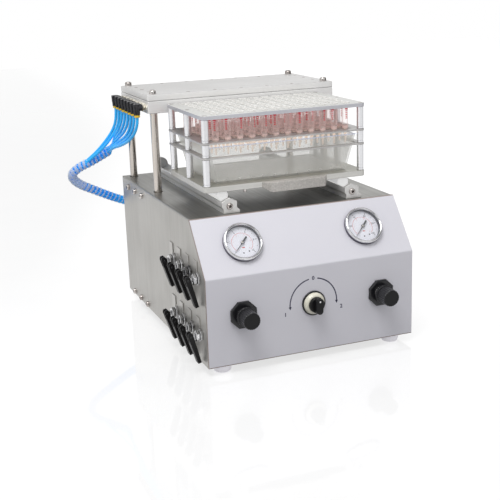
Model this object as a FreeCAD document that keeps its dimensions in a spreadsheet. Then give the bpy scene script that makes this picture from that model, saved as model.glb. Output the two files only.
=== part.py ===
import FreeCAD, Part
import math
import os
import re
import Sketcher
from FreeCAD import Placement, Rotation, Vector

# Positive pressure processor for a rack of 96 extraction columns.
# Pieces are modelled about the middle of the case: +X is the user's right, -Y is towards
# the user and Z = 0 is under the feet. The last step moves the origin to the middle of
# the whole outline.

# Driving dimensions in millimetres
SIZES = {
    # case
    "case_width": 265.0,
    "case_depth": 340.0,
    "case_height": 165.0,
    "front_height": 105.5,
    "slope_run": 47.5,
    "sheet": 2.0,
    "case_edge_radius": 2.5,
    "foot_height": 10.0,
    "foot_radius": 12.0,
    "foot_taper": 2.0,
    "foot_inset_side": 22.0,
    "foot_inset_front": 16.0,
    # rails on the case top
    "rail_inset": 25.6,
    "rail_width": 19.0,
    "rail_height": 14.0,
    "rail_flange": 13.0,
    "rail_flange_thickness": 3.4,
    "rail_foot": 7.5,
    "rail_front_inset": 7.5,
    "rail_back_inset": 10.0,
    "stop_thickness": 6.0,
    "stop_peak": 18.4,
    "rear_stop_height": 23.4,
    "screw_head_radius": 3.7,
    "screw_head_height": 2.6,
    "side_screw_pitch": 32.0,
    "side_screw_offset": 8.0,
    # lift inside the case
    "guide_plate_thickness": 10.0,
    "guide_plate_drop": 3.0,
    "base_plate_thickness": 6.0,
    "guide_plate_margin": 12.9,
    "guide_plate_gap": 5.0,
    "bush_radius": 9.5,
    "bush_length": 36.0,
    "column_radius": 5.0,
    "bush_clearance": 0.05,
    "column_hole_clearance": 1.2,
    "column_side_inset": 13.8,
    "column_back_inset": 11.6,
    "column_pitch": 115.5,
    "cylinder_radius": 26.0,
    "cylinder_bore": 20.0,
    "yoke_headroom": 43.0,
    "cylinder_cap": 6.0,
    "piston_thickness": 6.0,
    "piston_rod_radius": 6.0,
    "yoke_thickness": 8.0,
    "yoke_rise": 4.0,
    "yoke_margin": 7.0,
    # pressure head
    "head_side_inset": 4.1,
    "head_front_margin": 9.7,
    "head_back_margin": 4.5,
    "head_dip": 6.7,
    "block_thickness": 15.3,
    "gasket_thickness": 0.6,
    "gasket_inset": 0.8,
    "cover_thickness": 7.5,
    "head_edge_radius": 1.5,
    "head_bolt_radius": 4.6,
    "head_bolt_height": 5.0,
    "seal_pad_thickness": 2.0,
    "seal_pad_margin": 8.0,
    # elbow fittings on the head
    "fitting_reach": 11.6,
    "stem_radius": 4.0,
    "stem_length": 5.0,
    "elbow_radius": 5.0,
    "elbow_drop": 9.5,
    "collar_radius": 4.4,
    "collar_height": 2.6,
    "tube_radius": 1.95,
    # rack
    "rack_side_margin": 13.3,
    "rack_end_margin": 6.45,
    "rack_head_gap": 1.3,
    "rack_corner": 6.0,
    "rack_rise": 23.6,
    "rack_base_thickness": 7.0,
    "lower_shelf_rise": 32.0,
    "upper_shelf_rise": 17.1,
    "shelf_thickness": 2.0,
    "top_plate_rise": 28.9,
    "top_plate_thickness": 4.5,
    "post_radius": 4.3,
    "post_inset": 5.2,
    "slide_bar_radius": 7.5,
    "slide_bar_gap": 0.3,
    "slide_bar_travel": 18.0,
    "slide_bar_inset": 11.9,
    "handle_width": 85.0,
    "handle_front_width": 70.0,
    "handle_reach": 12.0,
    "handle_front_drop": 4.8,
    "handle_offset": 9.0,
    "tray_post_gap": 0.6,
    "tray_end_inset": 7.15,
    "tray_side_taper": 10.0,
    "tray_end_taper": 7.5,
    "tray_height": 45.0,
    "tray_wall": 1.8,
    "tray_window_gap": 1.2,
    # extraction columns
    "column_grid_pitch": 15.3,
    "barrel_radius": 3.9,
    "barrel_clearance": 0.3,
    "flange_radius": 5.4,
    "flange_thickness": 1.0,
    "barrel_length": 30.2,
    "tip_radius": 2.1,
    "tip_length": 11.0,
    "nozzle_radius": 1.3,
    "nozzle_length": 7.0,
    "tip_slot_clearance": 0.5,
    # gauges on the sloped panel
    "gauge_inset": 55.1,
    "gauge_up_slope": 39.2,
    "bezel_radius": 23.5,
    "bezel_height": 7.0,
    "bezel_lip": 3.0,
    "gauge_body_radius": 20.0,
    "gauge_body_depth": 28.0,
    "gauge_wall": 1.2,
    "dial_radius": 18.6,
    "dial_thickness": 0.8,
    "window_thickness": 1.5,
    "needle_length": 14.0,
    "needle_tail": 9.0,
    "needle_width": 1.4,
    "needle_thickness": 0.6,
    "needle_hub_radius": 2.2,
    "needle_shaft_radius": 0.8,
    "needle_level": 2.4,
    # regulators on the front panel
    "control_level": 69.7,
    "regulator_inset": 44.1,
    "regulator_body_radius": 18.0,
    "regulator_body_length": 40.0,
    "regulator_neck_radius": 9.0,
    "regulator_neck_reach": 8.0,
    "regulator_nut_radius": 17.0,
    "regulator_nut_thickness": 4.5,
    "spindle_radius": 3.0,
    "spindle_clearance": 0.05,
    "knob_radius": 10.2,
    "knob_skirt_radius": 11.6,
    "knob_skirt_height": 3.0,
    "knob_length": 20.5,
    "knob_gap": 0.4,
    # selector switch on the front panel
    "selector_hole_radius": 11.1,
    "selector_collar_radius": 14.4,
    "selector_collar_height": 2.4,
    "selector_ring_radius": 13.2,
    "selector_ring_top": 10.6,
    "selector_ring_height": 4.6,
    "selector_knob_radius": 9.3,
    "selector_knob_base": 4.0,
    "selector_grip_height": 8.0,
    "selector_grip_width": 8.0,
    "selector_shaft_radius": 4.0,
    "switch_block_size": 30.0,
    "switch_block_depth": 42.0,
    # valves on the left side
    "valve_inset": 20.0,
    "valve_pitch": 30.0,
    "valve_drop": 62.0,
    "valve_row_pitch": 67.5,
    "valve_thread_radius": 5.5,
    "valve_inner_length": 18.0,
    "valve_nut_radius": 7.8,
    "valve_nut_thickness": 3.4,
    "valve_bonnet_radius": 6.9,
    "valve_bonnet_gap": 0.6,
    "valve_bonnet_length": 4.0,
    "valve_stem_radius": 3.0,
    "valve_tang_width": 4.0,
    "valve_tang_height": 5.0,
    "valve_pin_reach": 14.2,
    "valve_pin_radius": 1.3,
    "lever_top": 5.0,
    "lever_top_chamfer": 2.8,
    "lever_length": 34.0,
    "lever_top_width": 6.6,
    "lever_end_width": 4.2,
    "lever_thickness": 8.4,
    "lever_fork_depth": 7.0,
    "lever_fork_gap": 0.2,
    "lever_bore_clearance": 0.05,
    "lever_groove_width": 1.8,
    "lever_groove_depth": 0.8,
    "lever_lean": 16.0,
    "valve_label_width": 13.0,
    "valve_label_height": 22.0,
    "valve_label_thickness": 1.2,
    "valve_label_offset": 4.0,
    "valve_label_rise": 19.0,
    # rear panel
    "inlet_inset": 72.5,
    "inlet_level": 60.0,
    "inlet_bore_radius": 3.05,
    "inlet_bore_length": 14.0,
    "inlet_nut_radius": 9.0,
    "inlet_nut_thickness": 5.0,
    "inlet_barrel_radius": 6.0,
    "inlet_reach": 17.0,
    "grommet_inset": 44.5,
    "grommet_level": 118.0,
    "grommet_radius": 10.5,
    "grommet_hole_radius": 8.6,
    "grommet_height": 3.0,
    "bundle_radius": 6.6,
}

# Places that follow from the driving dimensions
PLACES = {
    "case_top": "foot_height + case_height",
    "case_front": "-case_depth / 2",
    "case_back": "case_depth / 2",
    "case_side": "case_width / 2",
    "bend_level": "foot_height + front_height",
    "slope_rise": "case_height - front_height",
    "slope_length": "sqrt(slope_run ^ 2 + slope_rise ^ 2)",
    "slope_top": "case_front + slope_run",
    "slope_tilt": "atan2(slope_rise; slope_run) / 1 deg",
    "panel_top_inset": "sheet * slope_length / slope_rise",
    "panel_bend_drop": "sheet * (slope_length - slope_rise) / slope_run",
    "gauge_x": "case_side - gauge_inset",
    "regulator_x": "case_side - regulator_inset",
    "inlet_x": "case_side - inlet_inset",
    "grommet_x": "case_side - grommet_inset",
    "valve_front": "-case_front - valve_inset",
    "valve_upper_level": "case_top - valve_drop",
    "column_x": "case_side - column_side_inset",
    "column_back": "case_back - column_back_inset",
    "column_front": "column_back - column_pitch",
    "lift_middle": "column_front + column_pitch / 2",
    "guide_plate_front": "column_front - guide_plate_margin",
    "guide_plate_back": "case_back - guide_plate_gap",
    "side_screw_middle": "(guide_plate_front + guide_plate_back) / 2 + side_screw_offset",
    "rack_width": "12 * column_grid_pitch + 2 * rack_side_margin",
    "rack_depth": "8 * column_grid_pitch + 2 * rack_end_margin",
    "head_width": "case_width - 2 * head_side_inset",
    "head_front": "column_front - head_front_margin",
    "head_depth": "column_back + head_back_margin - head_front",
    "head_middle": "head_front + head_depth / 2",
    "rack_front": "rack_depth + rack_head_gap - head_front",
    "rack_middle": "-rack_front + rack_depth / 2",
    "rack_base_bottom": "case_top + rack_rise",
    "rack_base_top": "rack_base_bottom + rack_base_thickness",
    "lower_shelf_level": "rack_base_top + lower_shelf_rise",
    "upper_shelf_level": "lower_shelf_level + upper_shelf_rise",
    "top_plate_level": "upper_shelf_level + top_plate_rise",
    "rack_top": "top_plate_level + top_plate_thickness",
    "head_bottom": "top_plate_level - head_dip",
    "cover_bottom": "head_bottom + block_thickness + gasket_thickness",
    "head_top": "cover_bottom + cover_thickness",
    "rail_x": "rack_width / 2 - rail_inset",
    "rail_front": "-slope_top - rail_front_inset",
    "rail_back": "case_back - rail_back_inset",
    "slide_bar_front": "stop_thickness + slide_bar_travel - rail_front",
    "slide_bar_length": "rack_depth - rack_front - slide_bar_inset - slide_bar_front",
    "tray_width": "rack_width - 2 * (post_inset + post_radius + tray_post_gap)",
    "tray_depth": "rack_depth - 2 * tray_end_inset",
    "tray_foot_width": "tray_width - 2 * tray_side_taper",
    "tray_foot_depth": "tray_depth - 2 * tray_end_taper",
    "lift_floor": "foot_height + sheet + base_plate_thickness",
    "gauge_y": "case_front + slope_run * gauge_up_slope / slope_length",
    "gauge_z": "bend_level + slope_rise * gauge_up_slope / slope_length",
    "guide_plate_top": "case_top - sheet - guide_plate_drop",
    "guide_plate_bottom": "guide_plate_top - guide_plate_thickness",
    "bush_bottom": "guide_plate_top + sheet / 2 - bush_length",
    "yoke_bottom": "bush_bottom - yoke_headroom - yoke_thickness",
    "cylinder_top": "yoke_bottom - yoke_rise",
    "cylinder_height": "cylinder_top - lift_floor",
    "slide_bar_level": "rack_base_bottom - slide_bar_radius",
    "fitting_x": "-head_width / 2 - fitting_reach",
    "fitting_level": "head_bottom + block_thickness / 2",
    "elbow_bottom": "fitting_level - elbow_drop",
    "collar_bottom": "elbow_bottom - collar_height",
    "valve_pin_x": "-case_side - valve_pin_reach",
    "valve_lower_level": "valve_upper_level - valve_row_pitch",
    "knob_back": "case_front - regulator_neck_reach - knob_gap",
    "knob_front": "knob_back - knob_length",
    "origin_x": "0",
    "origin_y": "0",
}

FITTINGS = 8
GRID_COLUMNS = 12
GRID_ROWS = 8
NUT_SIDES = 8
HEX = 6
LONG = 1000.0

doc = FreeCAD.newDocument("Processor")
sizes = doc.addObject("Spreadsheet::Sheet", "Sizes")
places = doc.addObject("Spreadsheet::Sheet", "Places")
nodes = []
cords = []


def expand(text):
    """Write each alias in an expression with the sheet that holds it."""
    def with_sheet(match):
        word = match[0]
        if word in SIZES:
            return "Sizes." + word
        return "Places." + word if word in PLACES else word
    return re.sub(r"[a-z]\w*", with_sheet, str(text))


def fill_sheets():
    for row, (alias, number) in enumerate(SIZES.items(), 1):
        sizes.set(f"A{row}", alias)
        sizes.set(f"B{row}", str(number))
        sizes.setAlias(f"B{row}", alias)
    for row, (alias, rule) in enumerate(PLACES.items(), 1):
        places.set(f"A{row}", alias)
        places.setAlias(f"B{row}", alias)
    doc.recompute()
    for row, (alias, rule) in enumerate(PLACES.items(), 1):
        places.set(f"B{row}", "=" + expand(rule))
    doc.recompute()


def size(alias):
    sheet = sizes if alias in SIZES else places
    return float(sheet.get(alias))


def bind(thing, **rules):
    for name, rule in rules.items():
        thing.setExpression(name, expand(rule))
    return thing


def move(thing, x="0", y="0", z="0"):
    thing.setExpression("Placement.Base.x", expand(x))
    thing.setExpression("Placement.Base.y", expand(y))
    thing.setExpression("Placement.Base.z", expand(z))
    return thing


TURNS = {
    "Z": Rotation(),
    "X": Rotation(Vector(0, 1, 0), 90),
    "-X": Rotation(Vector(0, 1, 0), -90),
    "Y": Rotation(Vector(1, 0, 0), -90),
    "-Y": Rotation(Vector(1, 0, 0), 90),
}


def box(name, length, width, height, x="0", y="0", z="0"):
    """A box centred on x and y that stands on z."""
    thing = doc.addObject("Part::Box", name)
    bind(thing, Length=length, Width=width, Height=height)
    return move(thing, f"{x} - ({length}) / 2", f"{y} - ({width}) / 2", z)


def cylinder(name, radius, height, x="0", y="0", z="0", along="Z"):
    thing = doc.addObject("Part::Cylinder", name)
    bind(thing, Radius=radius, Height=height)
    thing.Placement = Placement(Vector(), TURNS[along])
    return move(thing, x, y, z)


def cone(name, start_radius, end_radius, height, x="0", y="0", z="0", along="Z"):
    thing = doc.addObject("Part::Cone", name)
    bind(thing, Radius1=start_radius, Radius2=end_radius, Height=height)
    thing.Placement = Placement(Vector(), TURNS[along])
    return move(thing, x, y, z)


def prism(name, sides, radius, height, x="0", y="0", z="0", along="Z"):
    thing = doc.addObject("Part::Prism", name)
    thing.Polygon = sides
    bind(thing, Circumradius=radius, Height=height)
    thing.Placement = Placement(Vector(), TURNS[along])
    return move(thing, x, y, z)


def wedge_up(name, foot, rim, bottom, top, y):
    """A tapered block: foot and rim are its lengths along X and Y at its two ends."""
    thing = doc.addObject("Part::Wedge", name)
    bind(thing, Xmin=f"-({foot[0]}) / 2", Xmax=f"({foot[0]}) / 2", Zmin=f"-({foot[1]}) / 2",
         Zmax=f"({foot[1]}) / 2", X2min=f"-({rim[0]}) / 2", X2max=f"({rim[0]}) / 2",
         Z2min=f"-({rim[1]}) / 2", Z2max=f"({rim[1]}) / 2", Ymin=bottom, Ymax=top)
    thing.Placement = Placement(Vector(), TURNS["-Y"])
    return move(thing, "0", y, "0")


def fuse(name, things):
    joined = doc.addObject("Part::MultiFuse", name)
    joined.Shapes = things
    return joined


def cut(name, base, tools):
    tool = tools[0] if len(tools) == 1 else fuse(name + "Tools", tools)
    thing = doc.addObject("Part::Cut", name)
    thing.Base = base
    thing.Tool = tool
    return thing


def group(name, things):
    thing = doc.addObject("Part::Compound", name)
    thing.Links = things
    return thing


def shifted(name, source, x):
    return move(group(name, [source]), x)


def shaped(name, shape):
    thing = doc.addObject("Part::Feature", name)
    thing.Shape = shape
    return thing


def node(thing, label, x="0", y="0", z="0", cord=False):
    """Name a finished sub-part and place it from the origin of the whole outline."""
    thing.Label = label
    move(thing, f"origin_x + {x}", f"origin_y + {y}", z)
    nodes.append(thing)
    if cord:
        cords.append(thing)
    return thing


def outline(body, name, plane, points):
    """A closed sketch whose corners are pinned to expressions."""
    sketch = body.newObject("Sketcher::SketchObject", name)
    sketch.AttachmentSupport = [(part, "") for part in body.Origin.OriginFeatures if part.Role == plane]
    sketch.MapMode = "FlatFace"
    count = len(points)
    start = [Vector(math.cos(2 * math.pi * i / count),
                    math.sin(2 * math.pi * i / count)) for i in range(count)]
    for i in range(count):
        sketch.addGeometry(Part.LineSegment(start[i], start[(i + 1) % count]), False)
    for i in range(count):
        sketch.addConstraint(Sketcher.Constraint("Coincident", i, 2, (i + 1) % count, 1))
    for i, (across, up) in enumerate(points):
        for kind, rule in (("DistanceX", across), ("DistanceY", up)):
            place = start[i].x if kind == "DistanceX" else start[i].y
            number = sketch.addConstraint(Sketcher.Constraint(kind, -1, 1, i, 1, place))
            label = f"{kind[-1].lower()}{i}"
            sketch.renameConstraint(number, label)
            sketch.setExpression("Constraints." + label, expand(rule))
    return sketch


def padded(name, plane, points, length):
    """A body with one outline padded evenly to both sides of its plane."""
    body = doc.addObject("PartDesign::Body", name)
    sketch = outline(body, name + "Outline", plane, points)
    pad = body.newObject("PartDesign::Pad", name + "Pad")
    pad.Profile = sketch
    pad.Midplane = True
    bind(pad, Length=length)
    return body


def rectangle(width, height, middle="0"):
    low, high = f"{middle} - ({height}) / 2", f"{middle} + ({height}) / 2"
    left, right = f"-({width}) / 2", f"({width}) / 2"
    return [(left, low), (right, low), (right, high), (left, high)]


def edges_along(shape, axis):
    found = []
    for number, edge in enumerate(shape.Edges, 1):
        if edge.Curve.TypeId == "Part::GeomLine" and abs(abs(edge.Curve.Direction.dot(axis)) - 1) < 1e-6:
            found.append((f"Edge{number}", edge))
    return found


def round_edges(body, names, radius):
    base = body.Tip
    fillet = body.newObject("PartDesign::Fillet", body.Name + "Round")
    fillet.Base = (base, names)
    bind(fillet, Radius=radius)
    return fillet


def plate(name, width, depth, thickness, radius):
    """A plate on Z = 0, centred, with its four upright edges rounded."""
    body = doc.addObject("PartDesign::Body", name)
    pad = body.newObject("PartDesign::Pad", name + "Pad")
    pad.Profile = outline(body, name + "Outline", "XY_Plane", rectangle(width, depth))
    bind(pad, Length=thickness)
    doc.recompute()
    round_edges(body, [edge for edge, _ in edges_along(body.Shape, Vector(0, 0, 1))], radius)
    return body


def on_slope(thing, x):
    """Stand a thing built about its own Z axis upright on the sloped panel."""
    thing.Placement = Placement(Vector(), Rotation(Vector(1, 0, 0), 1))
    thing.setExpression("Placement.Rotation.Angle", expand("slope_tilt * 1 deg"))
    return move(thing, x, "gauge_y", "gauge_z")


def make_case():
    # stainless wrap: top and both sides, cut back along the front for the front panel
    wrap = padded("Wrap", "YZ_Plane", [
        ("case_back - sheet", "foot_height"), ("case_back - sheet", "case_top"),
        ("slope_top + panel_top_inset", "case_top"), ("case_front + sheet", "bend_level - panel_bend_drop"),
        ("case_front + sheet", "foot_height")], "case_width")
    hollow = wrap.newObject("PartDesign::Pocket", "WrapHollow")
    hollow.Profile = outline(wrap, "WrapHollowOutline", "XZ_Plane", [
        ("-case_side + sheet", "foot_height - sheet"), ("case_side - sheet", "foot_height - sheet"),
        ("case_side - sheet", "case_top - sheet"), ("-case_side + sheet", "case_top - sheet")])
    hollow.Midplane = True
    bind(hollow, Length="2 * case_depth")
    doc.recompute()
    ridge = [name for name, edge in edges_along(wrap.Shape, Vector(0, 1, 0))
             if abs(edge.Vertexes[0].Z - size("case_top")) < 1e-3]
    round_edges(wrap, ridge, "case_edge_radius")
    holes = [cylinder(f"ColumnHole{x}{y}", "column_radius + column_hole_clearance", "3 * sheet",
                      f"{x} * column_x", y, "case_top - 2 * sheet")
             for x in (-1, 1) for y in ("column_front", "column_back")]
    for row in ("valve_upper_level", "valve_lower_level"):
        holes += [cylinder(f"ValveHole{row}{i}", "valve_thread_radius", "3 * sheet", "-case_side - sheet",
                           f"-valve_front + {i} * valve_pitch", row, "X") for i in range(4)]
    node(cut("CaseWrap", wrap, holes), "case_wrap")

    front = padded("Front", "YZ_Plane", [
        ("case_front", "foot_height"), ("case_front", "bend_level"), ("slope_top", "case_top"),
        ("slope_top + panel_top_inset", "case_top"), ("case_front + sheet", "bend_level - panel_bend_drop"),
        ("case_front + sheet", "foot_height")], "case_width")
    holes = [cylinder(f"RegulatorHole{side}", "regulator_neck_radius", "3 * sheet", f"{side} * regulator_x",
                      "case_front - sheet", "control_level", "Y") for side in (-1, 1)]
    holes.append(cylinder("SelectorHole", "selector_hole_radius", "3 * sheet", "0", "case_front - sheet",
                          "control_level", "Y"))
    for side in (-1, 1):
        tool = cylinder(f"GaugeTool{side}", "gauge_body_radius", "4 * sheet", z="-3 * sheet")
        holes.append(on_slope(group(f"GaugeHole{side}", [tool]), f"{side} * gauge_x"))
    node(cut("FrontPanel", front, holes), "front_panel")

    rear = box("Rear", "case_width", "sheet", "case_height", "0", "case_back - sheet / 2", "foot_height")
    holes = [cylinder("GrommetHole", "grommet_hole_radius", "3 * sheet", "-grommet_x",
                      "case_back - 2 * sheet",
                      "grommet_level", "Y"),
             cylinder("InletHole", "inlet_barrel_radius", "3 * sheet", "inlet_x", "case_back - 2 * sheet",
                      "inlet_level", "Y")]
    node(cut("RearPanel", rear, holes), "rear_panel")
    node(group("Floor", [box("FloorSheet", "case_width - 2 * sheet", "case_depth - 2 * sheet", "sheet",
                             z="foot_height")]), "floor_pan")
    feet = []
    for x in (-1, 1):
        for y in (-1, 1):
            feet.append(cone(f"Foot{x}{y}", "foot_radius - foot_taper", "foot_radius", "foot_height",
                             f"{x} * (case_side - foot_inset_side)", f"{y} * (case_back - foot_inset_front)"))
    node(group("Feet", feet), "rubber_feet")
    heads = []
    for side, along in ((-1, "-X"), (1, "X")):
        for level in ("guide_plate_bottom + guide_plate_thickness / 2",
                      "foot_height + sheet + base_plate_thickness / 2"):
            for i in (-1, 0, 1):
                heads.append(cylinder("SideScrew", "screw_head_radius", "screw_head_height",
                                      f"{side} * case_side", f"side_screw_middle + {i} * side_screw_pitch",
                                      level, along))
        heads.append(cylinder("StopScrew", "screw_head_radius", "screw_head_height", f"{side} * rail_x",
                              "-rail_front", "case_top + (rail_height + rail_flange_thickness) / 2", "-Y"))
    node(group("Screws", heads), "case_screws")


def make_rails():
    foot = [("-rail_foot", "0"), ("rail_flange", "0"), ("rail_flange", "rail_flange_thickness"),
            ("rail_width / 2", "rail_flange_thickness + 2.6")]
    back = [("-rail_width / 2", "rail_height - 6"), ("-rail_foot", "rail_flange_thickness + 1.6")]
    lips = [("rail_width / 2", "rail_height"), ("-rail_width / 2", "rail_height")]
    peak = [("rail_width / 2", "rail_height"), ("0", "stop_peak"), ("-rail_width / 2", "rail_height")]
    rail = padded("RailBar", "XZ_Plane", foot + lips + back, "rail_front + rail_back - 2 * stop_thickness")
    move(rail, "-rail_x", "(rail_back - rail_front) / 2", "case_top")
    groove = cylinder("RailGroove", "slide_bar_radius + slide_bar_gap", "rail_front + rail_back", "-rail_x",
                      "-rail_front", "slide_bar_level", "Y")
    left = cut("LeftRail", rail, [groove])
    node(group("Rails", [left, shifted("RightRail", left, "2 * rail_x")]), "guide_rails")
    stop = padded("LeftStop", "XZ_Plane", foot + peak + back, "stop_thickness")
    move(stop, "-rail_x", "-rail_front + stop_thickness / 2", "case_top")
    upright = box("RearStopPost", "rail_width", "stop_thickness", "rear_stop_height - rail_width / 2",
                  "-rail_x", "rail_back - stop_thickness / 2", "case_top")
    arch = cylinder("RearStopArch", "rail_width / 2", "stop_thickness", "-rail_x",
                    "rail_back - stop_thickness",
                    "case_top + rear_stop_height - rail_width / 2", "Y")
    rear = fuse("LeftRearStop", [upright, arch])
    node(group("Stops", [stop, rear, shifted("RightStops", group("LeftStops", [stop, rear]), "2 * rail_x")]),
         "rail_stops")


def corners(name, radius, height, level):
    """One cylinder at each of the four guide columns."""
    return [cylinder(f"{name}{x}{y}", radius, height, f"{x} * column_x", y, level)
            for x in (-1, 1) for y in ("column_front", "column_back")]


def make_lift():
    depth = "guide_plate_back - guide_plate_front"
    middle = "(guide_plate_back + guide_plate_front) / 2"
    upper = box("UpperPlate", "case_width - 2 * sheet", depth, "guide_plate_thickness", "0", middle,
                "guide_plate_bottom")
    upper = cut("UpperGuide", upper, corners("UpperHole", "bush_radius", "2 * guide_plate_thickness",
                                             "guide_plate_bottom - guide_plate_thickness / 2"))
    lower = box("BasePlate", "case_width - 2 * sheet", depth, "base_plate_thickness", "0", middle,
                "foot_height + sheet")
    node(group("GuidePlates", [upper, lower]), "guide_plates")
    bushes = cut("BushSet",
                 group("BushBarrels", corners("Bush", "bush_radius", "bush_length", "bush_bottom")),
                 corners("BushBore", "column_radius + bush_clearance", "bush_length + 2 * sheet",
                         "bush_bottom - sheet"))
    node(bushes, "guide_bushes")
    barrel = cylinder("CylinderBarrel", "cylinder_radius", "cylinder_height", "0", "lift_middle",
                      "lift_floor")
    bore = cylinder("CylinderBore", "cylinder_bore", "cylinder_height - 2 * cylinder_cap", "0", "lift_middle",
                    "lift_floor + cylinder_cap")
    rod_hole = cylinder("CylinderRodHole", "piston_rod_radius + bush_clearance", "2 * cylinder_cap", "0",
                        "lift_middle", "cylinder_top - 1.5 * cylinder_cap")
    node(cut("LiftCylinder", barrel, [bore, rod_hole]), "lift_cylinder")
    piston = cylinder("Piston", "cylinder_bore - 2 * bush_clearance", "piston_thickness", "0", "lift_middle",
                      "lift_floor + cylinder_cap + sheet / 2")
    rod = cylinder("PistonRod", "piston_rod_radius", "yoke_bottom - lift_floor - cylinder_cap - sheet", "0",
                   "lift_middle", "lift_floor + cylinder_cap + sheet")
    node(fuse("PistonAndRod", [piston, rod]), "lift_piston")
    yoke = box("YokePlate", "2 * (column_x + yoke_margin)", "column_pitch + 2 * yoke_margin",
               "yoke_thickness",
               "0", "lift_middle", "yoke_bottom")
    waist = "column_pitch - 4 * yoke_margin"
    windows = [box(f"YokeWindow{side}", "column_x - cylinder_radius - 2 * yoke_margin", waist,
                   "2 * yoke_thickness", f"{side} * (column_x + cylinder_radius) / 2", "lift_middle",
                   "yoke_bottom - yoke_thickness / 2") for side in (-1, 1)]
    node(cut("Yoke", yoke, windows + corners("YokeHole", "column_radius", "2 * yoke_thickness",
                                            "yoke_bottom - yoke_thickness / 2")), "lift_yoke")
    node(group("Columns", corners("Column", "column_radius", "head_bottom - yoke_bottom", "yoke_bottom")),
         "guide_columns")


def make_head():
    block = plate("Block", "head_width", "head_depth", "block_thickness", "head_edge_radius")
    move(block, "0", "head_middle", "head_bottom")
    pad_width = f"{GRID_COLUMNS - 1} * column_grid_pitch + 2 * seal_pad_margin"
    pad_depth = f"{GRID_ROWS - 1} * column_grid_pitch + 2 * seal_pad_margin"
    recess = box("PadRecess", pad_width, pad_depth, "2 * seal_pad_thickness", "0", "head_middle",
                 "head_bottom - seal_pad_thickness")
    node(cut("ManifoldBlock", block, [recess]), "manifold_block")
    node(group("SealPad", [box("SealPadSheet", pad_width, pad_depth, "seal_pad_thickness", "0", "head_middle",
                               "head_bottom")]), "seal_pad")
    node(group("Gasket", [box("GasketSheet", "head_width - 2 * gasket_inset", "head_depth - 2 * gasket_inset",
                              "gasket_thickness", "0", "head_middle", "head_bottom + block_thickness")]),
         "gasket_sheet")
    cover = plate("Cover", "head_width", "head_depth", "cover_thickness", "head_edge_radius")
    node(cover, "manifold_cover", "0", "head_middle", "cover_bottom")
    node(group("HeadBolts", corners("HeadBolt", "head_bolt_radius", "head_bolt_height", "head_top")),
         "head_bolts")


def make_fittings():
    stems, elbows, collars = [], [], []
    for i in range(FITTINGS):
        y = f"head_middle + {i - (FITTINGS - 1) / 2} * column_grid_pitch"
        stems.append(cylinder(f"Stem{i}", "stem_radius", "stem_length", "-head_width / 2", y, "fitting_level",
                              "-X"))
        arm = cylinder(f"ElbowArm{i}", "elbow_radius", "fitting_reach - stem_length",
                       "-head_width / 2 - stem_length",
                       y, "fitting_level", "-X")
        drop = cylinder(f"ElbowDrop{i}", "elbow_radius", "elbow_drop + elbow_radius", "fitting_x", y,
                        "elbow_bottom")
        elbows.append(fuse(f"Elbow{i}", [arm, drop]))
        collars.append(cylinder(f"Collar{i}", "collar_radius", "collar_height", "fitting_x", y,
                                "collar_bottom"))
    node(group("Elbows", stems + elbows), "elbow_fittings")
    node(group("Collars", collars), "fitting_collars")


def posts(name, bottom, height):
    return [cylinder(f"{name}{x}{y}", "post_radius", height, f"{x} * (rack_width / 2 - post_inset)",
                     f"rack_middle + {y} * (rack_depth / 2 - post_inset)", bottom)
            for x in (-1, 1) for y in (-1, 0, 1)]


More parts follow.
